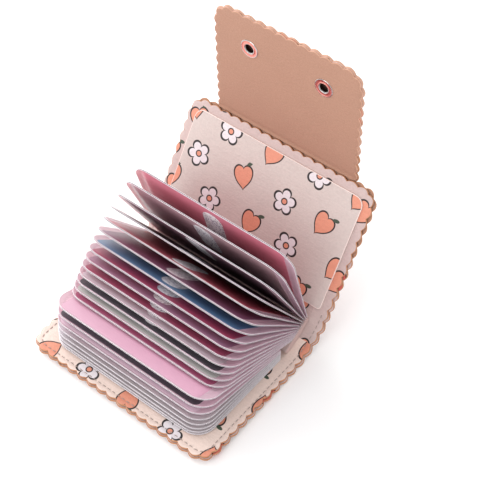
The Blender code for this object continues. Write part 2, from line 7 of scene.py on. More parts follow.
import bmesh
import bpy
from mathutils import Matrix, Vector
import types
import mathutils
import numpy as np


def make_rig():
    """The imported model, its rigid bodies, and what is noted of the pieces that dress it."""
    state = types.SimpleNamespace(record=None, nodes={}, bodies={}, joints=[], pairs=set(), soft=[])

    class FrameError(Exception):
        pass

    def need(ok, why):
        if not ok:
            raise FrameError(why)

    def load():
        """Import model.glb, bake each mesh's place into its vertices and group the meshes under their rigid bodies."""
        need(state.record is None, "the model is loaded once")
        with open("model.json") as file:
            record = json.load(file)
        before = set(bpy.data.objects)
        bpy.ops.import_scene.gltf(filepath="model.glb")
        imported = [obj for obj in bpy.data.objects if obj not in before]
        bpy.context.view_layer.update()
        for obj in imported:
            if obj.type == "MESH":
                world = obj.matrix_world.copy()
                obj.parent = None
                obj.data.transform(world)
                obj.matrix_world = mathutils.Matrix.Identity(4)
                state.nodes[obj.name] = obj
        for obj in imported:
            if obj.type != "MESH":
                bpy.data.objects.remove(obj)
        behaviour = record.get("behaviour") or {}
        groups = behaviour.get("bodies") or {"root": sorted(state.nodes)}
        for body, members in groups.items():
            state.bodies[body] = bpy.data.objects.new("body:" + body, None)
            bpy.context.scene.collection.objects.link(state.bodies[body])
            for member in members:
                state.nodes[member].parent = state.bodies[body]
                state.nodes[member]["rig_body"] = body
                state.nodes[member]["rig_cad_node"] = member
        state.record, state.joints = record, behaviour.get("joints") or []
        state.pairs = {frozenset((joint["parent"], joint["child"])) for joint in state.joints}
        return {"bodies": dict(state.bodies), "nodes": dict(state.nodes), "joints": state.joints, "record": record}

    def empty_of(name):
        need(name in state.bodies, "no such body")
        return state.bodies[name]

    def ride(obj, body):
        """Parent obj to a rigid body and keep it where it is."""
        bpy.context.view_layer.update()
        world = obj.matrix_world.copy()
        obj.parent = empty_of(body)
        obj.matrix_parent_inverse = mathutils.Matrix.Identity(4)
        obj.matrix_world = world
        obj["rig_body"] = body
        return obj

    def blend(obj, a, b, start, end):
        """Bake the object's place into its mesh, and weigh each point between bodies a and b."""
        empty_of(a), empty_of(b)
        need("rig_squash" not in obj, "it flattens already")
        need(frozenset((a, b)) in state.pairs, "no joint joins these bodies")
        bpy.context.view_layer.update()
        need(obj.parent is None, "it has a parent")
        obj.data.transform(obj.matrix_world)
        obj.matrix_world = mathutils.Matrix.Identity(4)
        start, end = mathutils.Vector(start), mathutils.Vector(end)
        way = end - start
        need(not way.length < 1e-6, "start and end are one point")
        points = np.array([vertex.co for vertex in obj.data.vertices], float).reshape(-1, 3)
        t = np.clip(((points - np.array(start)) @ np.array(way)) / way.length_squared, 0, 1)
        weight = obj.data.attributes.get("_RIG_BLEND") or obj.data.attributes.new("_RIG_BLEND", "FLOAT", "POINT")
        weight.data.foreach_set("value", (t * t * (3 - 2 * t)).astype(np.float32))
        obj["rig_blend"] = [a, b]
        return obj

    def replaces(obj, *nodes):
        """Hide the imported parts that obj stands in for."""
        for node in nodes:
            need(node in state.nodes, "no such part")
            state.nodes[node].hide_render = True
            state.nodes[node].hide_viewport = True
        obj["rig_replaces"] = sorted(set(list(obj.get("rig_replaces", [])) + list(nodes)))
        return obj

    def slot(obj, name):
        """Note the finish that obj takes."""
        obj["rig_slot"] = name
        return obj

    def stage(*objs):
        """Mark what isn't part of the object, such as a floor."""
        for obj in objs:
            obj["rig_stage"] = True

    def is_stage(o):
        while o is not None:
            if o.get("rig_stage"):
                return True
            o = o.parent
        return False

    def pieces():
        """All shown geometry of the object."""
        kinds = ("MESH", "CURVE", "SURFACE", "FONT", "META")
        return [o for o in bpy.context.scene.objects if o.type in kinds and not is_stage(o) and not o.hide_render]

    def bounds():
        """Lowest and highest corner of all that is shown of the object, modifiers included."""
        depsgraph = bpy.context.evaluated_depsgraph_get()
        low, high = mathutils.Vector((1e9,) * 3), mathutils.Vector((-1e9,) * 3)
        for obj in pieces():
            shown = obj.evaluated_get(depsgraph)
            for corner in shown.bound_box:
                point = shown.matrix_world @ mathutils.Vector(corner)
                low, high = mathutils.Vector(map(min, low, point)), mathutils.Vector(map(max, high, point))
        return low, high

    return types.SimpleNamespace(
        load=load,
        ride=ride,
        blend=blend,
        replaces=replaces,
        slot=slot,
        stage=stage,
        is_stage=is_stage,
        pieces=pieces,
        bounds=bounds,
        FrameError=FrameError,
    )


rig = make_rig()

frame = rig.load()
cad_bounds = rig.bounds()

MM = 0.001

# Sizes shared with the CAD
PANEL_WIDTH = 112.0 * MM
PANEL_DEPTH = 71.0 * MM
PANEL_CORNER_RADIUS = 7.0 * MM
SCALLOP_PITCH = 6.3 * MM
SCALLOP_HEIGHT = 1.3 * MM
COVER_THICKNESS = 3.0 * MM
LINING_END = 1.05 * MM
CORE_END = 1.8 * MM
SPINE_HALF_ANGLE = math.radians(25.0)
SPINE_CHORD = 24.21 * MM
CREASE_OFFSET = 1.65 * MM
CREASE_DEPTH = 2.55 * MM
FLAP_WIDTH = 84.3 * MM
FLAP_CORNER_RADIUS = 9.0 * MM
FLAP_TIP_LENGTH = 36.0 * MM
FLAP_LINING_NEAR = 1.2 * MM
FLAP_LINING_FAR = 1.95 * MM
INNER_PANEL_MARGIN = 5.0 * MM
INNER_PANEL_THICKNESS = 1.0 * MM
INNER_PANEL_CORNER_RADIUS = 5.0 * MM
SNAP_SPACING = 42.6 * MM
SNAP_FROM_TIP = 18.5 * MM
STUD_FROM_HINGE = 53.8 * MM
RIVET_SPACING = 80.0 * MM
LEAF_WIDTH = 95.6 * MM
LEAF_LENGTH = 61.0 * MM
LEAF_CORNER_RADIUS = 10.0 * MM
CARD_WIDTH = 85.6 * MM
CARD_LENGTH = 54.0 * MM
CARD_CORNER_RADIUS = 3.2 * MM
SLOT_WIDTH = 12.0 * MM
SLOT_LENGTH = 27.6 * MM
SLOT_FROM_TIP = 3.9 * MM

# Details that only the look has
SCALLOP_STEPS = 8
CORNER_STEPS = 10
EDGE_ROUND = 0.28 * MM
SEAM_INSET = 4.2 * MM
INNER_SEAM_INSET = 1.9 * MM
SEAM_GROOVE = 0.14 * MM
SEAM_HALF_WIDTH = 0.4 * MM
INNER_INSET = 5.2 * MM
STITCH_PITCH = 3.0 * MM
STITCH_LENGTH = 2.1 * MM
STITCH_RADIUS = 0.2 * MM
CORE_INSET = 0.3 * MM
LEATHER_OUTSET = 0.55 * MM
LEATHER_SETBACK = 0.35 * MM
FLAP_LEATHER_OUTSET = 0.35 * MM
BEND_REACH = 2.4 * MM
STITCH_LIFT = 0.9
STITCH_DIP = 2.2
STITCH_TAPER = 0.8
STITCH_RINGS = 7
STITCH_SIDES = 6
TURN_STEPS = 48
DOME_STEPS = 8
SHARP_ANGLE = math.radians(40)
TURNED_SHARP_ANGLE = math.radians(30)

# What one unit of the flat places in the UVs is, and the length that counts as nothing
UV_METRES = 0.1
TINY = 1e-7

# The slot of each layer of the covers
SLOTS = {"lining": "cream_lining", "core": "tan_core", "leather": "pink_leather"}

# The two colours of the card in each leaf, the first for its left end and the second for its right: a random wash
# mixes them, and a tilt across the card paints light at its left end and shade at its right; the leaves below them are
# empty
CARDS = {
    22: ((218, 134, 150), (190, 100, 120)), 21: ((184, 140, 150), (164, 140, 144)),
    20: ((150, 108, 124), (84, 64, 80)), 19: ((120, 84, 98), (56, 42, 54)),
    18: ((216, 116, 130), (150, 44, 62)), 17: ((150, 104, 130), (96, 68, 96)),
    16: ((116, 150, 182), (52, 92, 134)), 15: ((190, 84, 110), (142, 44, 72)),
    14: ((180, 136, 160), (124, 88, 116)), 13: ((178, 86, 110), (118, 50, 74)),
    12: ((212, 196, 204), (180, 168, 176)), 11: ((84, 80, 86), (52, 48, 54)),
    10: ((206, 202, 198), (172, 170, 168)), 9: ((176, 92, 122), (136, 62, 92)),
    8: ((216, 174, 192), (206, 150, 176)), 7: ((84, 78, 86), (56, 50, 58)),
    6: ((236, 204, 218), (212, 178, 196)),
}

# The leaves that lie flat on the front cover show no thumb slot from above
STACKED_LEAVES = range(1, 9)
TOP_LEAVES = range(19, 23)

# Where the hinges are and how each piece is turned at rest
JOINTS = {joint["name"]: joint for joint in frame["joints"]}
FRONT_HINGE = Vector(JOINTS["front_cover_fold"]["pos_m"])
BACK_HINGE = Vector(JOINTS["spine_fold"]["pos_m"])
CREASE = Vector(JOINTS["flap_fold"]["pos_m"])
FLAP_FOLD = Vector(JOINTS["flap_tip_fold"]["pos_m"])
FOLD_TO_FLAT = math.radians(JOINTS["spine_fold"]["range_deg"][1])
SPINE_TURN = math.atan2(BACK_HINGE.z - FRONT_HINGE.z, BACK_HINGE.y - FRONT_HINGE.y)
FRONT_TURN = SPINE_TURN - FOLD_TO_FLAT
BACK_TURN = SPINE_TURN + FOLD_TO_FLAT
FLAP_TURN = BACK_TURN + math.radians(90 - JOINTS["flap_fold"]["range_deg"][1])


def turned_frame(place, turn):
    """x runs along the spine, y along the piece and z towards the inside of the wallet."""
    return Matrix.Translation(place) @ Matrix.Rotation(turn, 4, "X")


FRONT = turned_frame(FRONT_HINGE, FRONT_TURN)
SPINE = turned_frame(FRONT_HINGE, SPINE_TURN)
BACK = turned_frame(BACK_HINGE, BACK_TURN)
STRIP = turned_frame(CREASE, FLAP_TURN)
TIP = turned_frame(FLAP_FOLD, FLAP_TURN)

SPINE_RADIUS = SPINE_CHORD / 2 / math.sin(SPINE_HALF_ANGLE)
ARCH = SPINE_RADIUS * SPINE_HALF_ANGLE
CREASE_AT = ARCH + PANEL_DEPTH + CREASE_OFFSET
STRIP_LENGTH = (STRIP.inverted() @ FLAP_FOLD).y
FOLD_AT = CREASE_AT + STRIP_LENGTH
FLAP_END = FOLD_AT + FLAP_TIP_LENGTH
MID_COVER = ARCH + PANEL_DEPTH / 2
MID_STRIP = CREASE_AT + STRIP_LENGTH / 2


# Camera, lights and floor

CAMERA_PLACE = Vector((0.25971, -0.29105, 0.52322))
CAMERA_AZIMUTH = math.radians(38.38)
CAMERA_ELEVATION = math.radians(50.41)
CAMERA_ROLL = math.radians(0.21)
FOCAL_PIXELS = 1292.8
FRAME_PIXELS = 500.0
SENSOR = 36.0
NEAR_CLIP = 0.01
LIGHT_AIM = Vector((0, 0, 0.04))
FLOOR_SIZE = 6
FLOOR_LEVEL = -0.4 * MM


def new_object(name, data):
    made = bpy.data.objects.new(name, data)
    bpy.context.scene.collection.objects.link(made)
    return made


def add_camera():
    data = bpy.data.cameras.new("camera")
    data.sensor_width = SENSOR
    data.lens = FOCAL_PIXELS / FRAME_PIXELS * SENSOR
    data.clip_start = NEAR_CLIP
    camera = new_object("camera", data)
    azimuth = Matrix.Rotation(CAMERA_AZIMUTH, 4, "Z")
    tilt = Matrix.Rotation(math.pi / 2 - CAMERA_ELEVATION, 4, "X")
    roll = Matrix.Rotation(-CAMERA_ROLL, 4, "Z")
    camera.matrix_world = Matrix.Translation(CAMERA_PLACE) @ azimuth @ tilt @ roll
    bpy.context.scene.camera = camera


def add_light(name, place, size, power, colour=(1, 1, 1)):
    data = bpy.data.lights.new(name, "AREA")
    data.size = size
    data.energy = power
    data.color = colour
    light = new_object(name, data)
    light.location = place
    aim = LIGHT_AIM - light.location
    light.rotation_euler = aim.to_track_quat("-Z", "Y").to_euler()


def add_floor():
    shape = bmesh.new()
    bmesh.ops.create_grid(shape, x_segments=4, y_segments=4, size=FLOOR_SIZE)
    mesh = bpy.data.meshes.new("floor")
    shape.to_mesh(mesh)
    shape.free()
    floor = new_object("floor", mesh)
    floor.location.z = FLOOR_LEVEL
    mesh.materials.append(Nodes("floor").shade({
        "Base Color": (0.98, 0.98, 0.98, 1),
        "Roughness": 0.9,
        "Specular IOR Level": 0.1,
    }))
    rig.stage(floor)


def add_studio():
    world = bpy.data.worlds.new("studio")
    bpy.context.scene.world = world
    world.use_nodes = True
    world.node_tree.nodes["Background"].inputs["Color"].default_value = (1, 1, 1, 1)
    add_light("key", (-0.75, 0.05, 0.55), 0.8, 5.5, (1, 0.985, 0.965))
    add_light("front", (-0.1, -0.85, 0.55), 0.6, 3.0)
    bpy.context.scene.view_settings.view_transform = "Standard"


# Materials

def linear(colour):
    """A colour as it is seen on screen, from 0 to 255, as the linear colour of a shader."""
    channels = []
    for value in colour:
        value /= 255
        channels.append(value / 12.92 if value <= 0.04045 else ((value + 0.055) / 1.055) ** 2.4)
    return *channels, 1.0


class Nodes:
    """A material and short ways to add nodes to it."""

    def __init__(self, name):
        self.material = bpy.data.materials.new(name)
        self.material.use_nodes = True
        self.tree = self.material.node_tree
        self.shader = self.tree.nodes["Principled BSDF"]

    def add(self, kind, inputs=(), **settings):
        """A node with its settings, and with its inputs by their names or numbers."""
        node = self.tree.nodes.new("ShaderNode" + kind)
        for key, value in settings.items():
            setattr(node, key, value)
        for key, value in dict(inputs).items():
            self.put(node.inputs[key], value)
        return node

    def put(self, socket, value):
        if isinstance(value, bpy.types.NodeSocket):
            self.tree.links.new(value, socket)
        else:
            socket.default_value = value

    def shade(self, values):
        """Give each named socket of the shader a value of its own or the output of a node."""
        for name, value in values.items():
            self.put(self.shader.inputs[name], value)
        return self.material

    def math(self, operation, first, second=0.0, third=0.0):
        node = self.add("Math", {0: first, 1: second, 2: third}, operation=operation)
        return node.outputs[0]

    def below(self, value, limit, softness):
        """1 where the value is below the limit, 0 above it, with a soft step between."""
        inputs = {"Value": value, "From Min": limit - softness, "From Max": limit + softness}
        inputs.update({"To Min": 1.0, "To Max": 0.0})
        return self.add("MapRange", inputs, interpolation_type="SMOOTHSTEP").outputs["Result"]

    def mix(self, share, first, second, blend="MIX"):
        """Two colours mixed: each the output of a node, or red, green and blue up to 255."""
        inputs = {"Factor": share}
        for number, colour in ((6, first), (7, second)):
            is_output = isinstance(colour, bpy.types.NodeSocket)
            inputs[number] = colour if is_output else linear(colour)
        return self.add("Mix", inputs, data_type="RGBA", blend_type=blend).outputs[2]

    def noise(self, vector, scale, detail=3.0, roughness=0.5):
        inputs = {"Vector": vector, "Scale": scale, "Detail": detail, "Roughness": roughness}
        return self.add("TexNoise", inputs).outputs["Fac"]

    def cells(self, vector, scale):
        node = self.add("TexVoronoi", {"Vector": vector, "Scale": scale}, feature="F1")
        return node.outputs["Distance"]

    def bump(self, height, distance, strength=1.0):
        inputs = {"Height": height, "Distance": distance, "Strength": strength}
        return self.add("Bump", inputs).outputs["Normal"]

    def remap(self, value, low, high):
        """A value from 0 to 1 as one from low to high."""
        return self.math("MULTIPLY_ADD", value, high - low, low)

    def sheet_place(self):
        """The place on the sheet in millimetres, as a vector and as its two numbers."""
        flat = self.add("UVMap", uv_map="sheet").outputs["UV"]
        scale = self.add("VectorMath", {0: flat, "Scale": UV_METRES / MM}, operation="SCALE")
        split = self.add("SeparateXYZ", {0: scale.outputs[0]})
        return scale.outputs[0], split.outputs[0], split.outputs[1]

    def object_place(self):
        return self.add("TexCoord").outputs["Object"]


# The print on the leather, with its lengths in millimetres. A pair is for across and along.
PRINT_PITCH = (25.0, 19.0)
PRINT_JITTER = (4.5, 2.7)
PRINT_ORIGIN = 300.0
PRINT_OFFSET = 0.5
PRINT_TURN = 0.6
PRINT_SIZE = 1.14
PRINT_SOFTNESS = 0.09
FRONT_PRINT_SHIFT = -7.5
PANEL_PRINT_SHIFT = 7.0
DAISY_PETALS = 5
DAISY_NOTCH_RADIUS = 3.1
DAISY_LOBE = 2.5
DAISY_LOBE_POWER = 0.6
DAISY_EYE_RADIUS = 1.35
PETAL_LINE = 0.5
EYE_LINE = 0.28
HEART_RADIUS = 4.7
HEART_LIFT = 1.45
HEART_DROP = 1.0
HEART_LINE = 0.32
SPRIG_SLOPE = 0.55
SPRIG_X = 6.6
SPRIG_Y = 4.4
SPRIG_STRETCH = 2.0
SPRIG_RADIUS = 0.95
LABEL_WIDTH = 18.0
LABEL_LENGTH = 28.0
LABEL_FROM_TIP = 5.0
LABEL_LINE = 0.3
LABEL_SOFTNESS = 0.08
INK = (32, 23, 25)
SPRIG_GREEN = (62, 78, 62)
PETAL_WHITE = (232, 224, 228)


def printed(nodes, across, along, base, fruit, shift=0.0):
    """A staggered print of daisies and hearts over a base colour, each turned its own way."""
    plus, minus, times, over, times_plus = (
        partial(nodes.math, kind)
        for kind in ("ADD", "SUBTRACT", "MULTIPLY", "DIVIDE", "MULTIPLY_ADD")
    )
    row_place = over(plus(along, PRINT_ORIGIN + shift), PRINT_PITCH[1])
    row = nodes.math("FLOOR", row_place)
    odd = nodes.math("MODULO", row, 2.0)
    even_place = over(plus(across, PRINT_ORIGIN + shift / 2), PRINT_PITCH[0])
    column_place = times_plus(odd, 0.5, even_place)
    column = nodes.math("FLOOR", column_place)
    cell = nodes.add("CombineXYZ", {0: column, 1: row})
    noise = nodes.add("TexWhiteNoise", {"Vector": cell.outputs[0]}, noise_dimensions="2D")
    chance = nodes.add("SeparateColor", {0: noise.outputs["Color"]})

    def local(place, index, axis):
        """The distance from a motif's middle, which chance moves within its cell."""
        middle = minus(minus(place, index), 0.5)
        moved = times_plus(chance.outputs[axis], PRINT_JITTER[axis], -PRINT_OFFSET)
        return minus(times(middle, PRINT_PITCH[axis]), moved)

    x0 = local(column_place, column, 0)
    y0 = local(row_place, row, 1)
    turn = nodes.remap(chance.outputs[2], -PRINT_TURN, PRINT_TURN)
    cosine, sine = nodes.math("COSINE", turn), nodes.math("SINE", turn)
    x = over(minus(times(x0, cosine), times(y0, sine)), PRINT_SIZE)
    y = over(plus(times(x0, sine), times(y0, cosine)), PRINT_SIZE)
    is_heart = nodes.math("MODULO", plus(column, row), 2.0)
    is_daisy = minus(1.0, is_heart)

    def radius_of(u, v):
        return nodes.math("SQRT", plus(times(u, u), times(v, v)))

    def paint(colour, value, limit, motif, fill):
        share = times(nodes.below(value, limit, PRINT_SOFTNESS), motif)
        return nodes.mix(share, colour, fill)

    def outline(colour, value, half_width, motif):
        return paint(colour, nodes.math("ABSOLUTE", value), half_width, motif, INK)

    radius = radius_of(x, y)
    angle = nodes.math("ARCTAN2", y, x)
    lobes = nodes.math("ABSOLUTE", nodes.math("COSINE", times(angle, DAISY_PETALS / 2)))
    lobes = nodes.math("POWER", lobes, DAISY_LOBE_POWER)
    petals = minus(radius, times_plus(lobes, DAISY_LOBE, DAISY_NOTCH_RADIUS))
    eye = minus(radius, DAISY_EYE_RADIUS)
    colour = paint(base, petals, 0.0, is_daisy, PETAL_WHITE)
    colour = outline(colour, petals, PETAL_LINE, is_daisy)
    colour = paint(colour, eye, 0.0, is_daisy, fruit)
    colour = outline(colour, eye, EYE_LINE, is_daisy)

    lift = times(nodes.math("SQRT", nodes.math("ABSOLUTE", x)), HEART_LIFT)
    heart = minus(radius_of(x, minus(plus(y, HEART_DROP), lift)), HEART_RADIUS)
    colour = paint(colour, heart, 0.0, is_heart, fruit)
    colour = outline(colour, heart, HEART_LINE, is_heart)
    sprig_x = minus(times_plus(y, SPRIG_SLOPE, x), SPRIG_X)
    sprig_y = minus(times_plus(x, -SPRIG_SLOPE, y), SPRIG_Y)
    sprig = radius_of(over(sprig_x, SPRIG_STRETCH), sprig_y)
    return paint(colour, sprig, SPRIG_RADIUS, is_heart, SPRIG_GREEN)


def label_outline(nodes, across, along, colour, fill):
    """A blank label: a thin dark rectangle between the snaps, with nothing in it."""
    middle = FLAP_END / MM - LABEL_FROM_TIP - LABEL_LENGTH / 2
    side = nodes.math("SUBTRACT", nodes.math("ABSOLUTE", across), LABEL_WIDTH / 2)
    end = nodes.math("ABSOLUTE", nodes.math("SUBTRACT", along, middle))
    box = nodes.math("MAXIMUM", side, nodes.math("SUBTRACT", end, LABEL_LENGTH / 2))
    colour = nodes.mix(nodes.below(box, 0.0, LABEL_SOFTNESS), colour, fill)
    border = nodes.below(nodes.math("ABSOLUTE", box), LABEL_LINE, LABEL_SOFTNESS)
    return nodes.mix(border, colour, INK)


def leather_material(name, light, dark, fruit, grain, label=False, shift=0.0):
    """Printed leather with a pebbled grain, drawn on the flat sheet so that it bends with it."""
    nodes = Nodes(name)
    place, across, along = nodes.sheet_place()
    base = nodes.mix(nodes.noise(place, 0.035, 4.0), light, dark)
    colour = printed(nodes, across, along, base, fruit, shift)
    if label:
        colour = label_outline(nodes, across, along, colour, light)
    pebbles = nodes.cells(place, 0.95)
    fine = nodes.noise(place, 2.4, 4.0, 0.65)
    streak_map = nodes.add("Mapping", {"Vector": place, "Scale": (0.16, 0.95, 1.0)})
    streaks = nodes.noise(streak_map.outputs[0], 1.0)
    height = nodes.math("MULTIPLY_ADD", pebbles, 0.6, fine)
    height = nodes.math("MULTIPLY_ADD", streaks, 0.9, height)
    shade = nodes.remap(height, 1.06, 0.94)
    grey = nodes.add("CombineColor", dict.fromkeys(range(3), shade))
    return nodes.shade({
        "Base Color": nodes.mix(1.0, colour, grey.outputs[0], "MULTIPLY"),
        "Roughness": nodes.remap(height, 0.36, 0.50),
        "Normal": nodes.bump(height, grain),
        "Sheen Weight": 0.12,
        "Sheen Roughness": 0.4,
    })


def edge_material(name, light, dark):
    """The cut edge of a layer or a film, rubbed lighter in places."""
    nodes = Nodes(name)
    place, _, _ = nodes.sheet_place()
    rub = nodes.noise(place, 0.5, 5.0, 0.6)
    fibres = nodes.noise(place, 4.0, 4.0, 0.7)
    return nodes.shade({
        "Base Color": nodes.mix(rub, dark, light),
        "Roughness": nodes.remap(fibres, 0.45, 0.7),
        "Normal": nodes.bump(fibres, 0.05 * MM),
    })


def kraft_material():
    """The unprinted suede-like lining of the flap."""
    nodes = Nodes("kraft_lining_look")
    place, _, _ = nodes.sheet_place()
    cloud = nodes.noise(place, 0.05, 4.0, 0.6)
    specks = nodes.noise(place, 1.1, 6.0, 0.72)
    base = nodes.mix(cloud, (180, 136, 115), (166, 124, 104))
    fleck = nodes.mix(specks, (212, 168, 146), (136, 98, 80))
    return nodes.shade({
        "Base Color": nodes.mix(0.5, base, fleck),
        "Roughness": nodes.remap(specks, 0.6, 0.8),
        "Normal": nodes.bump(specks, 0.32 * MM),
        "Sheen Weight": 0.08,
        "Specular IOR Level": 0.15,
    })


def metal_material(name, light, dark, roughness):
    """Plated metal with faint turning marks and smudges."""
    nodes = Nodes(name)
    place = nodes.object_place()
    smudge = nodes.noise(place, 900.0, 4.0)
    scratch = nodes.noise(place, 4000.0, 2.0)
    return nodes.shade({
        "Base Color": nodes.mix(smudge, light, dark),
        "Roughness": nodes.remap(smudge, roughness, roughness + 0.18),
        "Normal": nodes.bump(scratch, 0.01 * MM, 0.5),
        "Metallic": 1.0,
    })


def enamel_material():
    """The glossy coral enamel of the snap caps."""
    nodes = Nodes("coral_enamel_look")
    cloud = nodes.noise(nodes.object_place(), 300.0)
    return nodes.shade({
        "Base Color": nodes.mix(cloud, (226, 92, 78), (200, 66, 58)),
        "Roughness": nodes.remap(cloud, 0.14, 0.24),
        "Normal": nodes.bump(cloud, 0.02 * MM),
        "Coat Weight": 0.8,
        "Coat Roughness": 0.08,
    })


def thread_material(name, light, dark):
    """Twisted thread."""
    nodes = Nodes(name)
    twist = nodes.noise(nodes.object_place(), 3500.0, 2.0)
    return nodes.shade({
        "Base Color": nodes.mix(twist, dark, light),
        "Roughness": nodes.remap(twist, 0.5, 0.75),
        "Normal": nodes.bump(twist, 0.05 * MM),
    })


# Where the colour of a film's left end fades out, in millimetres from its middle; that colour is partly the film's own
# at its bare end and partly painted light from the left
FILM_LEFT_END_AT = -36.0
FILM_LEFT_END_SOFTNESS = 8.0


def film_material(name, light, dark, left):
    """Milky clear plastic film with long soft ripples, and a colour of its own at its left end that is partly the
    film's own at its bare end and partly painted light from the left.
    """
    nodes = Nodes(name)
    place, across, _ = nodes.sheet_place()
    colour = nodes.mix(nodes.noise(place, 0.08), light, dark)
    ripple = nodes.noise(place, 0.25, 2.0)
    # Painted light: the left end of the film takes its own colour, as if lit from the left.
    left_end_share = nodes.below(across, FILM_LEFT_END_AT, FILM_LEFT_END_SOFTNESS)
    return nodes.shade({
        "Base Color": nodes.mix(left_end_share, colour, left),
        "Roughness": nodes.remap(ripple, 0.26, 0.40),
        "Normal": nodes.bump(ripple, 0.15 * MM),
        "Transmission Weight": 0.35,
        "IOR": 1.3,
        "Coat Weight": 0.15,
    })


def frosted_material():
    """The frosted film of a thumb slot: crinkled and half clear, grey where painted shade darkens the low parts of its
    crinkle.
    """
    nodes = Nodes("frosted_film_look")
    place, _, _ = nodes.sheet_place()
    crinkle = nodes.cells(place, 1.1)
    specks = nodes.noise(place, 1.6, 4.0, 0.8)
    height = nodes.math("ADD", crinkle, specks)
    # Painted shade: the low parts of the crinkle are darker.
    low = nodes.below(height, 0.85, 0.2)
    return nodes.shade({
        "Base Color": nodes.mix(low, (255, 253, 255), (150, 138, 166)),
        "Alpha": nodes.remap(specks, 0.85, 1.0),
        "Roughness": nodes.remap(specks, 0.25, 0.5),
        "Normal": nodes.bump(height, 0.25 * MM),
    })


def card_material(name, colour, second):
    """A glossy printed card, in a broad wash of two colours with nothing drawn on it. The wash tilts from the first
    colour at the card's left end to the second at its right, which is painted light from the left and painted shade
    towards the right.
    """
    nodes = Nodes(name)
    place, across, _ = nodes.sheet_place()
    wash = nodes.noise(place, 0.03)
    # Painted light and shade: the card goes from its first colour at its left end to its second at its right.
    tilt = nodes.math("MULTIPLY_ADD", across, 0.011, 0.5)
    share = nodes.math("MULTIPLY", nodes.math("ADD", wash, tilt), 0.5)
    mottle = nodes.noise(place, 0.3)
    return nodes.shade({
        "Base Color": nodes.mix(share, colour, second),
        "Roughness": nodes.remap(mottle, 0.28, 0.42),
        "Normal": nodes.bump(mottle, 0.06 * MM),
        "Coat Weight": 0.12,
        "Coat Roughness": 0.2,
    })


def binding_material():
    """The woven strip that holds the roots of the leaves."""
    nodes = Nodes("binding_fabric_look")
    place = nodes.object_place()
    weave = nodes.add(
        "TexWave", {"Vector": place, "Scale": 500.0, "Distortion": 1.0},
        wave_type="BANDS", bands_direction="X")
    fluff = nodes.noise(place, 1500.0, 4.0)
    threads = nodes.math("MULTIPLY", weave.outputs["Fac"], fluff)
    return nodes.shade({
        "Base Color": nodes.mix(threads, (196, 168, 164), (226, 204, 200)),
        "Roughness": nodes.remap(fluff, 0.7, 0.9),
        "Normal": nodes.bump(threads, 0.1 * MM),
    })


# Places on the folded sheets: x across, s along from the middle of the spine, depth outwards

def smooth(share):
    share = min(max(share, 0.0), 1.0)
    return share * share * (3 - 2 * share)


def arch_point(side, x, s, depth):
    angle = side * s / SPINE_RADIUS
    radius = SPINE_RADIUS + depth
    centre = SPINE_RADIUS * math.cos(SPINE_HALF_ANGLE)
    y = SPINE_CHORD / 2 + radius * math.sin(angle)
    return SPINE @ Vector((x, y, centre - radius * math.cos(angle)))


def on_front(x, s, depth):
    if s < ARCH:
        return arch_point(-1, x, s, depth)
    return FRONT @ Vector((x, ARCH - s, -depth))


def on_back(x, s, depth):
    if s < ARCH:
        return arch_point(1, x, s, depth)
    cover = BACK @ Vector((x, s - ARCH, -depth))
    if s < CREASE_AT - BEND_REACH:
        return cover
    strip = STRIP @ Vector((x, s - CREASE_AT, CREASE_DEPTH - depth))
    return cover.lerp(strip, smooth((s - CREASE_AT + BEND_REACH) / (2 * BEND_REACH)))


# Outlines: each point of an edge has its place, its outward direction and its scallop

def line(start, end):
    start, end = Vector(start), Vector(end)
    along = end - start
    normal = Vector((-along.y, along.x)).normalized()
    return along.length, lambda share: (start + along * share, normal)


def corner(centre, radius):
    """A quarter turn from the side towards the far edge."""
    centre = Vector(centre)

    def place(share):
        angle = math.radians(180 - 90 * share)
        normal = Vector((math.cos(angle), math.sin(angle)))
        return centre + normal * radius, normal

    return radius * math.pi / 2, place


def scalloped(stretches):
    total = sum(length for length, _ in stretches)
    steps = max(1, round(total / SCALLOP_PITCH)) * SCALLOP_STEPS
    edge = []
    for step in range(steps + 1):
        distance = total * step / steps
        for length, place in stretches:
            if distance <= length or place is stretches[-1][1]:
                break
            distance -= length
        point, normal = place(min(distance / length, 1.0))
        edge.append((point, normal, SCALLOP_HEIGHT * abs(math.sin(math.pi * step / SCALLOP_STEPS))))
    return edge


def panel_edge(width, start, end, radius, end_x=0.0):
    """The left half of an edge that runs from a start up its side and along its far end."""
    side = -width / 2 + SCALLOP_HEIGHT
    far = end - SCALLOP_HEIGHT
    return scalloped([
        line((side, start), (side, far - radius)),
        corner((side + radius, far - radius), radius),
        line((side + radius, far), (end_x, far)),
    ])


def side_edge(width, start, end):
    side = -width / 2 + SCALLOP_HEIGHT
    return scalloped([line((side, start), (side, end))])


def rooted_flap_edge(start, end):
    """The half edge of the sheet that is the far half of a cover and runs on into the flap."""
    root = -FLAP_WIDTH / 2 + SCALLOP_HEIGHT
    cover = panel_edge(PANEL_WIDTH, start, ARCH + PANEL_DEPTH, PANEL_CORNER_RADIUS, root)
    inner_corner = (cover[-1][0], Vector((-1, 1)), 0.0)
    strip = side_edge(FLAP_WIDTH, cover[-1][0].y, end)
    return cover[:-1] + [inner_corner] + strip[1:]


# The stretches of a slab's profile that are its rim, and how far the scallops reach inwards
WALL_RINGS = range(5, 10)
SCALLOP_FADE = 0.4


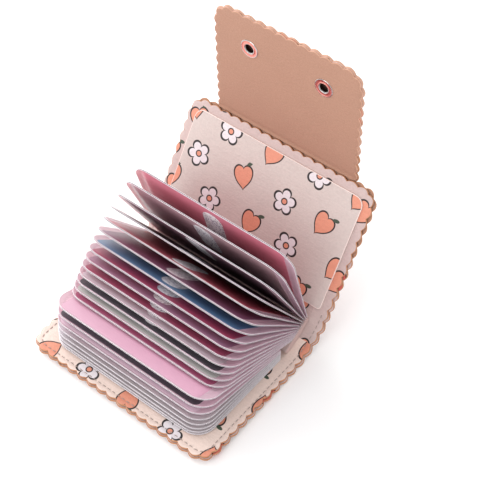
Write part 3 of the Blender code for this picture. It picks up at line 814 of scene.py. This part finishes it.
def slab_profile(near, far, near_seam=None, far_seam=None, outset=0.0):
    """Inset, depth and share of the scallops: one face, the round edge, the other face.

    A face with a seam has a shallow groove at the inset of the seam."""
    step = EDGE_ROUND * (1 - math.sqrt(0.5))

    def face(depth, inward, seam):
        inset = seam or SEAM_INSET
        groove = SEAM_GROOVE * inward if seam else 0.0
        return [
            (INNER_INSET, depth, 0.0),
            (inset + SEAM_HALF_WIDTH, depth, 0.0),
            (inset, depth + groove, 0.0),
            (inset - SEAM_HALF_WIDTH, depth, 0.0),
            (inset / 2, depth, SCALLOP_FADE),
            (EDGE_ROUND - outset, depth, 1.0),
            (step - outset, depth + step * inward, 1.0),
            (-outset, depth + EDGE_ROUND * inward, 1.0),
        ]

    return face(near, 1, near_seam) + face(far, -1, far_seam)[::-1]


def new_sheet():
    """An empty mesh, with a layer for the flat places of its corners."""
    shape = bmesh.new()
    return shape, shape.loops.layers.uv.new("sheet")


def finish_mesh(name, shape, materials, sharp_angle=SHARP_ANGLE):
    bmesh.ops.recalc_face_normals(shape, faces=shape.faces)
    mesh = bpy.data.meshes.new(name)
    shape.to_mesh(mesh)
    shape.free()
    mesh.shade_smooth()
    mesh.set_sharp_from_angle(angle=sharp_angle)
    for material in materials:
        mesh.materials.append(material)
    return new_object(name, mesh)


def mirrored(point):
    return Vector((-point.x, point.y))


def reaches_middle(edge):
    """Whether a half edge ends in the middle, where its mirror image goes on."""
    return abs(edge[-1][0].x) < TINY


def add_row(shape, flat, points, place, depth):
    """A row of vertices at one depth, with their flat places noted."""
    row = []
    for at in points:
        vertex = shape.verts.new(place(at.x, at.y, depth))
        flat[vertex] = at
        row.append(vertex)
    return row


def add_face(shape, corners, material, flat, layer):
    """A face through some vertices, with the flat places of its corners as their UVs."""
    single = [v for i, v in enumerate(corners) if v is not corners[i - 1]]
    face = shape.faces.new(single)
    face.material_index = material
    for loop in face.loops:
        loop[layer].uv = flat[loop.vert] / UV_METRES


def bending_slab(name, edge, profile, place, materials):
    """A sheet between a half edge and its mirror image, with rows across so that it bends.

    The materials are those of the faces, the rim and, where it differs, the inner face."""
    shape, layer = new_sheet()
    inner = len(materials) - 1 if len(materials) > 2 else 0
    flat = {}

    def half(side):
        rows = []
        for inset, depth, fade in profile:
            row = [side(point + normal * (bump * fade - inset)) for point, normal, bump in edge]
            rows.append(add_row(shape, flat, row, place, depth))
        return rows

    left, right = half(Vector), half(mirrored)
    closed = reaches_middle(edge)
    if closed:
        for left_row, right_row in zip(left, right):
            shape.verts.remove(right_row[-1])
            right_row[-1] = left_row[-1]
    for index in range(len(profile) - 1):
        material = 1 if index in WALL_RINGS else inner if index < WALL_RINGS[0] else 0
        for side in (left, right):
            low, high = side[index], side[index + 1]
            for i in range(len(edge) - 1):
                add_face(shape, [low[i], low[i + 1], high[i + 1], high[i]], material, flat, layer)
    # Both faces are closed from side to side, with a row of faces for each step along the edge
    for row_index in (0, len(profile) - 1):
        low, high = left[row_index], right[row_index]
        rungs = [0] + [
            i for i in range(1, len(edge))
            if i == len(edge) - 1 or flat[low[i + 1]].y > flat[low[i]].y + TINY
        ]
        for start, end in zip(rungs, rungs[1:]):
            corners = low[start:end + 1] + high[start:end + 1][::-1]
            add_face(shape, corners, inner if row_index == 0 else 0, flat, layer)
    for i in (0,) if closed else (0, len(edge) - 1):
        for side in (left, right):
            for k in range(len(profile) // 2 - 1):
                corners = [side[k][i], side[k + 1][i], side[-k - 2][i], side[-k - 1][i]]
                add_face(shape, corners, 1, flat, layer)
        add_face(shape, [left[0][i], right[0][i], right[-1][i], left[-1][i]], 1, flat, layer)
    return finish_mesh(name, shape, materials)


# How deep a row of stitches lies, which way is out there, and how far it is from the edge
OUTER_SEAM = (COVER_THICKNESS, 1, SEAM_INSET)
INNER_SEAM = (0.0, -1, INNER_SEAM_INSET)


def stitches(name, edge, seam, place, material):
    """A row of thread stitches that dip into the sheet at both ends."""
    depth, outward, inset = seam
    left = [point - normal * inset for point, normal, _ in edge]
    right = [mirrored(point) for point in left]
    rows = [left + right[::-1]] if reaches_middle(edge) else [left, right]
    shape = bmesh.new()
    for row in rows:
        add_stitch_row(shape, row, depth, outward, place)
    return finish_mesh(name, shape, [material])


def along_path(path):
    """The length of a path, and its point and direction at a distance."""
    marks = [0.0]
    for first, second in zip(path, path[1:]):
        marks.append(marks[-1] + (second - first).length)

    def at(distance):
        index = 0
        while index < len(path) - 2 and marks[index + 1] < distance:
            index += 1
        step = path[index + 1] - path[index]
        share = (distance - marks[index]) / max(marks[index + 1] - marks[index], TINY)
        return path[index] + step * share, step.normalized()

    return marks[-1], at


def add_stitch_row(shape, path, depth, outward, place):
    """Stitches that stand highest in their middle and thin out towards their ends."""
    total, at = along_path(path)
    count = int(total / STITCH_PITCH)
    first = (total - (count - 1) * STITCH_PITCH) / 2
    for number in range(count):
        middle = first + number * STITCH_PITCH
        rings = []
        for step in range(STITCH_RINGS):
            share = 2 * step / (STITCH_RINGS - 1) - 1
            point, along = at(middle + share * STITCH_LENGTH / 2)
            across = Vector((-along.y, along.x))
            height = STITCH_RADIUS * (STITCH_LIFT - STITCH_DIP * share ** 4)
            radius = STITCH_RADIUS * math.sqrt(1 - STITCH_TAPER * share ** 6)
            ring = []
            for side in range(STITCH_SIDES):
                angle = math.tau * side / STITCH_SIDES
                flat = point + across * radius * math.cos(angle)
                level = depth + outward * (height + radius * math.sin(angle))
                ring.append(shape.verts.new(place(flat.x, flat.y, level)))
            rings.append(ring)
        for low, high in zip(rings, rings[1:]):
            for side in range(STITCH_SIDES):
                after = (side + 1) % STITCH_SIDES
                shape.faces.new([low[side], low[after], high[after], high[side]])
        shape.faces.new(rings[0])
        shape.faces.new(rings[-1])


def rounded_loop(width, near, far, near_radius, far_radius):
    """A closed rectangle with round corners, as places with outward directions."""
    loop = []
    side = width / 2
    turns = (
        (side - near_radius, near + near_radius, near_radius, -90),
        (side - far_radius, far - far_radius, far_radius, 0),
        (-side + far_radius, far - far_radius, far_radius, 90),
        (-side + near_radius, near + near_radius, near_radius, 180),
    )
    for x, y, radius, start in turns:
        for step in range(CORNER_STEPS + 1):
            angle = math.radians(start + 90 * step / CORNER_STEPS)
            normal = Vector((math.cos(angle), math.sin(angle)))
            loop.append((Vector((x, y)) + normal * radius, normal))
    return [at for i, at in enumerate(loop) if (at[0] - loop[i - 1][0]).length > TINY]


def flat_plate(shape, layer, loop, profile, place, material, painted=()):
    """A closed plate: rings of a loop at insets and heights, with a face on each end.

    A stretch of the profile has the plate's material, or the one that painted gives for it."""
    flat, rings = {}, []
    for inset, height in profile:
        ring = [point - normal * inset for point, normal in loop]
        rings.append(add_row(shape, flat, ring, place, height))
    for number, (low, high) in enumerate(zip(rings, rings[1:])):
        index = dict(painted).get(number, material)
        for i in range(len(loop)):
            add_face(shape, [low[i - 1], low[i], high[i], high[i - 1]], index, flat, layer)
    add_face(shape, rings[0], material, flat, layer)
    add_face(shape, rings[-1], material, flat, layer)


def round_profile(low, high, radius):
    """A plate's rim with both its edges rounded."""
    step = radius * (1 - math.sqrt(0.5))
    return [
        (radius, low), (step, low + step), (0.0, low + radius),
        (0.0, high - radius), (step, high - step), (radius, high),
    ]


def lathe(name, profile, place, materials, painted=(), closed=False):
    """A round piece: a half profile turned about the z axis of a frame.

    A stretch of the profile has the first material, or the one that painted gives for it."""
    shape = bmesh.new()
    rings = []
    for radius, height in profile:
        ring = []
        for step in range(TURN_STEPS if radius > TINY else 1):
            angle = math.tau * step / TURN_STEPS
            at = Vector((radius * math.cos(angle), radius * math.sin(angle), height))
            ring.append(shape.verts.new(place @ at))
        rings.append(ring)
    pairs = list(zip(rings, rings[1:]))
    if closed:
        pairs.append((rings[-1], rings[0]))
    for number, (low, high) in enumerate(pairs):
        for i in range(TURN_STEPS):
            corners = [low[i % len(low)], low[(i + 1) % len(low)]]
            corners += [high[(i + 1) % len(high)], high[i % len(high)]]
            single = [v for k, v in enumerate(corners) if v is not corners[k - 1]]
            face = shape.faces.new(single)
            face.material_index = dict(painted).get(number, 0)
    return finish_mesh(name, shape, materials, TURNED_SHARP_ANGLE)


def millimetres(points):
    """Points of a profile that are given in millimetres, in metres."""
    return [(across * MM, height * MM) for across, height in points]


def dome_profile(radius, base, height):
    """A dome from its top down to its rim."""
    angles = [math.radians(90 * step / DOME_STEPS) for step in range(DOME_STEPS + 1)]
    return [(radius * math.sin(angle), base + height * math.cos(angle)) for angle in angles]


def pair(spacing):
    """The two sides of the wallet that a pair of fittings is on."""
    return ("left", -spacing / 2), ("right", spacing / 2)


# The pieces

def bend(first, second, place, at, depth=0.0):
    """Two bodies, and the places between which a sheet bends from the first to the second."""
    return first, second, place(0, at - BEND_REACH, depth), place(0, at + BEND_REACH, depth)


def fit(piece, body, slot, *replaced):
    """Tie a piece to its body, with its slot and the solids that it stands in for."""
    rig.ride(piece, body)
    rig.replaces(piece, *replaced)
    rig.slot(piece, slot)


def make_covers(looks):
    """The layers of both covers, each in two halves that meet in the middle of the spine."""
    sides = {
        "front": (on_front, bend("spine", "front_cover", on_front, ARCH)),
        "back": (on_back, bend("spine", "back_cover", on_back, ARCH)),
    }
    far = ARCH + PANEL_DEPTH
    edge = panel_edge(PANEL_WIDTH, 0.0, far, PANEL_CORNER_RADIUS)
    leather_edge = panel_edge(PANEL_WIDTH, 0.0, far - LEATHER_SETBACK, PANEL_CORNER_RADIUS)
    root_side = side_edge(PANEL_WIDTH, 0.0, MID_COVER)
    panel_side = side_edge(PANEL_WIDTH, 0.0, ARCH + INNER_PANEL_MARGIN)
    sewn_lining = slab_profile(0.0, LINING_END, INNER_SEAM_INSET)
    plain_lining = slab_profile(0.0, LINING_END)
    core = slab_profile(LINING_END, CORE_END, outset=-CORE_INSET)
    leather = slab_profile(CORE_END, COVER_THICKNESS, None, SEAM_INSET, LEATHER_OUTSET)
    for side, layer, outline, profile, look in (
        ("front", "lining", edge, sewn_lining, "lining"),
        ("back", "lining", edge, plain_lining, "border"),
        ("front", "core", edge, core, "core"),
        ("back", "core", edge, core, "core"),
        ("front", "leather", leather_edge, leather, "leather"),
        ("back", "leather", root_side, leather, "leather"),
    ):
        place, hinge = sides[side]
        name = side + "_" + layer + "_sheet"
        piece = bending_slab(name, outline, profile, place, looks[look])
        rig.blend(piece, *hinge)
        # The back cover's leather goes on in the root of the flap, which replaces its solid
        if side == "front":
            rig.replaces(piece, "front_cover_" + layer, "spine_" + layer)
        elif layer != "leather":
            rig.replaces(piece, "back_cover_" + layer)
        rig.slot(piece, SLOTS[layer])
    for side, inner_edge, outer_edge in (("front", edge, edge), ("back", panel_side, root_side)):
        place, hinge = sides[side]
        for name, seam, outline, look in (
            ("_inner_stitches", INNER_SEAM, inner_edge, "pale_thread"),
            ("_outer_stitches", OUTER_SEAM, outer_edge, "thread"),
        ):
            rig.blend(stitches(side + name, outline, seam, place, looks[look]), *hinge)


def make_flap(looks):
    """The leather that runs from the back cover into the flap, and the flap's own lining."""
    crease = bend("back_cover", "flap_strip", on_back, CREASE_AT, CREASE_DEPTH)
    fold = bend("flap_strip", "flap_tip", on_back, FOLD_AT, FLAP_LINING_NEAR)
    leather = slab_profile(FLAP_LINING_FAR, COVER_THICKNESS, None, SEAM_INSET, FLAP_LEATHER_OUTSET)
    lining = slab_profile(FLAP_LINING_NEAR, FLAP_LINING_FAR)
    root_edge = rooted_flap_edge(MID_COVER, MID_STRIP)
    lining_edge = side_edge(FLAP_WIDTH, CREASE_AT - CREASE_OFFSET, MID_STRIP)
    tip_edge = panel_edge(FLAP_WIDTH, MID_STRIP, FLAP_END, FLAP_CORNER_RADIUS)
    kraft = looks["kraft"]
    root_leather = ("back_cover_leather", "flap_crease", "flap_strip_leather")
    for name, edge, profile, look, bent, replaced in (
        ("root_leather", root_edge, leather, looks["leather"] + kraft[:1], crease, root_leather),
        ("tip_leather", tip_edge, leather, looks["flap_leather"], fold, ["flap_tip_leather"]),
        ("strip_kraft", lining_edge, lining, kraft, crease, ["flap_strip_lining"]),
        ("tip_kraft", tip_edge, lining, kraft, fold, ["flap_tip_lining"]),
    ):
        piece = bending_slab("flap_" + name + "_sheet", edge, profile, on_back, look)
        if bent is fold:
            drill(piece)
        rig.blend(piece, *bent)
        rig.replaces(piece, *replaced)
        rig.slot(piece, "pink_leather" if profile is leather else "kraft_lining")
    for name, edge, bent in (("root", root_edge, crease), ("tip", tip_edge, fold)):
        name = "flap_" + name + "_stitches"
        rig.blend(stitches(name, edge, OUTER_SEAM, on_back, looks["thread"]), *bent)


# Profiles of the fittings, each a radius and a height in millimetres, and what is painted
SNAP_HOLE = millimetres([(0, -4), (2.75, -4), (2.75, 3), (0, 3)])
CAP_BASE = -1.8 * MM
CAP_RIM = millimetres([
    (4.9, 1.05), (5.2, 1.15), (5.5, 0.95), (5.6, 0.5), (5.45, 0.08), (2.7, 0.05), (2.7, -1.5),
    (2.35, -1.6), (2.35, -0.2), (0, -0.2),
])
CAP_PROFILE = dome_profile(4.9 * MM, 1.0 * MM, 0.9 * MM) + CAP_RIM
# The bore in each cap's post is painted in dark metal, a painted shade in the hollow.
CAP_BORE = range(len(CAP_PROFILE) - 3, len(CAP_PROFILE) - 1)
CAP_PAINT = dict.fromkeys(range(DOME_STEPS), 1) | dict.fromkeys(CAP_BORE, 2)
SOCKET_PROFILE = millimetres([
    (2.45, -0.5), (2.45, 0.05), (2.6, 0.22), (2.9, 0.3), (3.3, 0.16), (4.1, 0.12), (4.5, 0.3),
    (4.8, 0.3), (5.0, 0.15), (5.0, -0.05), (4.8, -0.1), (2.9, -0.1), (2.7, -0.5),
])
SOCKET_PAINT = dict.fromkeys(range(3, 6), 1)
STUD_PROFILE = millimetres([
    (0, 1.0), (0.9, 1.0), (1.0, 1.5), (1.25, 1.68), (1.6, 1.62), (1.88, 1.3), (1.9, 1.0),
    (1.72, 0.55), (1.7, 0.35), (2.0, 0.22), (3.6, 0.2), (4.1, 0.12), (4.2, -0.05), (4.1, -0.3),
    (0, -0.3),
])
RIVET_PROFILE = millimetres([
    (0, 0.45), (1.5, 0.5), (2.1, 0.65), (2.4, 1.0), (2.8, 1.1), (3.4, 1.05), (4.0, 0.8),
    (4.35, 0.4), (4.4, 0.0), (4.2, -0.3), (1.3, -0.3), (1.3, -3.0), (0, -3.0),
])
OUTWARDS = Matrix.Rotation(math.pi, 4, "X")


def snap_frames():
    """Frames in the middle of each snap, on the inner face of the flap, z towards the inside."""
    y = FLAP_TIP_LENGTH - SNAP_FROM_TIP
    for side, x in pair(SNAP_SPACING):
        yield side, TIP @ Matrix.Translation((x, y, 0))


def drill(piece):
    """Cut the two snap holes through a sheet of the flap."""
    for side, place in snap_frames():
        cutter = lathe("hole_" + side, SNAP_HOLE, place, [])
        modifier = piece.modifiers.new("hole", "BOOLEAN")
        modifier.object = cutter
        modifier.solver = "EXACT"
        graph = bpy.context.evaluated_depsgraph_get()
        mesh = bpy.data.meshes.new_from_object(piece.evaluated_get(graph))
        piece.modifiers.clear()
        piece.data = mesh
        mesh.set_sharp_from_angle(angle=SHARP_ANGLE)
        bpy.data.objects.remove(cutter, do_unlink=True)


def make_snaps(looks):
    """Caps with a metal rim and enamel dome, ring sockets, and the studs they close on."""
    steel = looks["steel"]
    for side, place in snap_frames():
        outer = place @ Matrix.Translation((0, 0, CAP_BASE)) @ OUTWARDS
        cap = lathe(
            "snap_cap_" + side + "_detail", CAP_PROFILE, outer,
            [steel, looks["enamel"], looks["bore"]], CAP_PAINT)
        fit(cap, "flap_tip", "coral_enamel", "snap_cap_" + side)
        socket = lathe(
            "snap_socket_" + side + "_detail", SOCKET_PROFILE, place, [steel, looks["rose"]],
            SOCKET_PAINT, closed=True)
        fit(socket, "flap_tip", "steel", "snap_socket_" + side)
    for side, x in pair(SNAP_SPACING):
        place = FRONT @ Matrix.Translation((x, -STUD_FROM_HINGE, -COVER_THICKNESS)) @ OUTWARDS
        stud = lathe("snap_stud_" + side + "_detail", STUD_PROFILE, place, [steel])
        fit(stud, "front_cover", "steel", "snap_stud_" + side, "snap_post_" + side)


def make_rivets(looks):
    """The two rivets through the spine, each with a sunk middle."""
    top = SPINE_RADIUS * math.cos(SPINE_HALF_ANGLE) - SPINE_RADIUS - COVER_THICKNESS
    for side, x in pair(RIVET_SPACING):
        place = SPINE @ Matrix.Translation((x, SPINE_CHORD / 2, top)) @ OUTWARDS
        rivet = lathe("spine_rivet_" + side + "_detail", RIVET_PROFILE, place, [looks["steel"]])
        fit(rivet, "spine", "steel", "spine_rivet_" + side)


INNER_PANEL_ROOT_RADIUS = 2 * MM
INNER_PANEL_ROUND = 0.35 * MM
INNER_PANEL_CROWN = 0.1 * MM
INNER_PANEL_CROWN_INSET = 1.2 * MM


def make_inner_panel(looks):
    """The rounded panel on the lining of the back cover, with a painted highlight on its rim."""
    shape, layer = new_sheet()
    width = PANEL_WIDTH - 2 * INNER_PANEL_MARGIN
    near, far = INNER_PANEL_MARGIN, PANEL_DEPTH - INNER_PANEL_MARGIN
    loop = rounded_loop(width, near, far, INNER_PANEL_ROOT_RADIUS, INNER_PANEL_CORNER_RADIUS)
    profile = round_profile(0.0, INNER_PANEL_THICKNESS, INNER_PANEL_ROUND)
    profile[-1:] = [
        (INNER_PANEL_ROUND, INNER_PANEL_THICKNESS - INNER_PANEL_CROWN),
        (INNER_PANEL_CROWN_INSET, INNER_PANEL_THICKNESS),
    ]

    def place(x, y, z):
        return BACK @ Vector((x, y, z))

    # The rim of the panel has the lighter edge look, a painted highlight along its edge.
    flat_plate(shape, layer, loop, profile, place, 0, dict.fromkeys(range(len(profile) - 2), 1))
    piece = finish_mesh("back_inner_panel_sheet", shape, [looks["panel"], looks["panel_edge"]])
    fit(piece, "back_cover", "cream_lining", "back_inner_panel")


def leaf_frames():
    """Each leaf's number and frame: y runs back from its tip to its root, z is its upper side."""
    follows = {c["joint"]: c["ratio"] for c in frame["record"]["behaviour"]["couplings"]}
    half_open = math.pi / 2 - FOLD_TO_FLAT
    for name, joint in JOINTS.items():
        if not name.startswith("leaf_"):
            continue
        number = int(name[5:7])
        ratio = follows[name]
        on_cover = joint["parent"] == "front_cover"
        angle = half_open * (-ratio if on_cover else 1 - ratio)
        yield number, turned_frame(Vector(joint["pos_m"]), FRONT_TURN - angle)


# A leaf's root is a tab that is thinner than the leaf
LEAF_TAB_SHARE = 0.42
LEAF_TAB_LENGTH = 4.6 * MM
LEAF_TAB_RUN = 1.6 * MM

# Inset and height of a leaf's rim, from its lower face to its upper, in millimetres. The two
# film edges are painted near white as a highlight, the groove between them is painted dark as its shade, and a seam
# runs round inside them.
FILM_PROFILE = millimetres([
    (3.4, -0.30), (3.1, -0.22), (2.8, -0.30), (0.5, -0.35), (0.12, -0.33), (0.0, -0.24),
    (0.06, -0.14), (0.45, 0.0), (0.06, 0.14), (0.0, 0.24), (0.12, 0.33), (0.5, 0.35),
    (2.8, 0.30), (3.1, 0.22), (3.4, 0.30),
])
# Stretches 4, 5, 8 and 9 get the painted highlight of the film lips, 6 and 7 the painted shade of the groove between
# the films.
FILM_PAINT = {4: 2, 5: 2, 6: 3, 7: 3, 8: 2, 9: 2}
FILM_ROOT_RADIUS = 0.6 * MM
SLOT_LAYERS = ((-0.42 * MM, -0.30 * MM), (0.30 * MM, 0.42 * MM))
SLOT_ROUND = 0.05 * MM
CARD_FROM_TIP = 0.8 * MM
CARD_HALF_THICKNESS = 0.37 * MM
CARD_ROUND = 0.12 * MM


def leaf_taper(distance):
    """The share of its full thickness that a leaf has at a distance from its root."""
    share = smooth((distance - LEAF_TAB_LENGTH) / LEAF_TAB_RUN)
    return LEAF_TAB_SHARE + (1 - LEAF_TAB_SHARE) * share


def make_leaves(looks):
    """Clear envelopes with a rounded rim and seams, and the cards that they hold."""
    film_loop = rounded_loop(LEAF_WIDTH, 0.0, LEAF_LENGTH, FILM_ROOT_RADIUS, LEAF_CORNER_RADIUS)
    card_far = LEAF_LENGTH - CARD_FROM_TIP
    card_loop = rounded_loop(
        CARD_WIDTH, card_far - CARD_LENGTH, card_far, CARD_CORNER_RADIUS, CARD_CORNER_RADIUS)
    card_profile = round_profile(-CARD_HALF_THICKNESS, CARD_HALF_THICKNESS, CARD_ROUND)
    slot_far = LEAF_LENGTH - SLOT_FROM_TIP
    slot_loop = rounded_loop(
        SLOT_WIDTH, slot_far - SLOT_LENGTH, slot_far, SLOT_WIDTH / 2, SLOT_WIDTH / 2)
    for number, leaf in leaf_frames():
        name = f"leaf_{number:02d}"
        has_card = number in CARDS

        def place(x, y, z, leaf=leaf):
            return leaf @ Vector((x, -y, z * leaf_taper(y)))

        shape, layer = new_sheet()
        flat_plate(shape, layer, film_loop, FILM_PROFILE, place, 0, FILM_PAINT)
        if has_card:
            for low, high in SLOT_LAYERS[:1] if number in STACKED_LEAVES else SLOT_LAYERS:
                flat_plate(shape, layer, slot_loop, round_profile(low, high, SLOT_ROUND), place, 1)
        look = "rose_film" if number in TOP_LEAVES else "film" if has_card else "empty_film"
        film_looks = [looks[key] for key in (look, "frosted", "film_edge", "film_gap")]
        film = finish_mesh(name + "_film", shape, film_looks)
        fit(film, name + "_body", "clear_film", name)
        if not has_card:
            continue
        shape, layer = new_sheet()
        flat_plate(shape, layer, card_loop, card_profile, place, 0)
        card_look = card_material(name + "_card_look", *CARDS[number])
        card = finish_mesh(name + "_card", shape, [card_look])
        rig.ride(card, name + "_body")


def make_looks():
    """Every material but those of the cards and the binding, by the part that it is for."""
    fruit = (228, 150, 124)
    leather_colours = (228, 203, 199), (216, 186, 184), (226, 104, 96), 0.22 * MM
    film_colours = (244, 218, 229), (226, 190, 206)
    copper_edge = edge_material("copper_edge", (206, 148, 108), (150, 96, 64))
    core_look = edge_material("tan_core_look", (112, 70, 50), (70, 42, 30))
    flap_edge = edge_material("flap_edge", (222, 176, 152), (176, 126, 100))
    leather = leather_material("pink_leather_look", *leather_colours)
    flap_leather = leather_material("flap_leather_look", *leather_colours, label=True)
    lining = leather_material(
        "cream_lining_look", (243, 222, 211), (237, 212, 201), fruit, 0.10 * MM,
        shift=FRONT_PRINT_SHIFT)
    border = leather_material(
        "mauve_border_look", (210, 188, 183), (200, 176, 173), fruit, 0.12 * MM)
    panel = leather_material(
        "inner_panel_look", (214, 200, 194), (205, 189, 184), fruit, 0.12 * MM,
        shift=PANEL_PRINT_SHIFT)
    return {
        "lining": [lining, copper_edge],
        "border": [border, copper_edge],
        "core": [core_look, core_look],
        "leather": [leather, copper_edge],
        "flap_leather": [flap_leather, flap_edge],
        "kraft": [kraft_material(), flap_edge],
        "panel": panel,
        # Painted highlight: the rim of the inner panel is lighter than its face.
        "panel_edge": edge_material("panel_edge", (246, 230, 224), (226, 204, 198)),
        "thread": thread_material("dark_thread", (96, 66, 66), (58, 38, 40)),
        "pale_thread": thread_material("grey_thread", (184, 166, 158), (142, 124, 118)),
        "steel": metal_material("steel_look", (206, 202, 200), (160, 154, 152), 0.14),
        "rose": metal_material("rose_metal_look", (232, 158, 146), (204, 122, 112), 0.2),
        # Painted shade: the dark metal in the bore of each cap's post.
        "bore": metal_material("painted_shade_bore_look", (92, 66, 60), (52, 36, 34), 0.4),
        "enamel": enamel_material(),
        # The third colour of each film is that of its left end, partly its own and partly painted light from the left.
        "rose_film": film_material("rose_film", *film_colours, (216, 122, 138)),
        "film": film_material("pink_film", *film_colours, (236, 200, 212)),
        "empty_film": film_material("grey_film", (220, 210, 214), (200, 188, 193), (232, 224, 230)),
        # Painted highlight on the lips of the films, and painted shade in the groove between them.
        "film_edge": edge_material("painted_highlight_film_edge", (255, 252, 255), (246, 238, 244)),
        "film_gap": edge_material("painted_shade_film_gap", (104, 86, 94), (72, 56, 64)),
        "frosted": frosted_material(),
    }


def main():
    add_camera()
    add_studio()
    add_floor()
    looks = make_looks()
    make_covers(looks)
    make_flap(looks)
    make_snaps(looks)
    make_rivets(looks)
    make_inner_panel(looks)
    make_leaves(looks)
    binding = frame["nodes"]["page_binding"]
    binding.data.materials.clear()
    binding.data.materials.append(binding_material())
    with open("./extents.json", "w") as file:
        json.dump([[list(corner) for corner in cad_bounds], [list(corner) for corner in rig.bounds()]], file)


main()
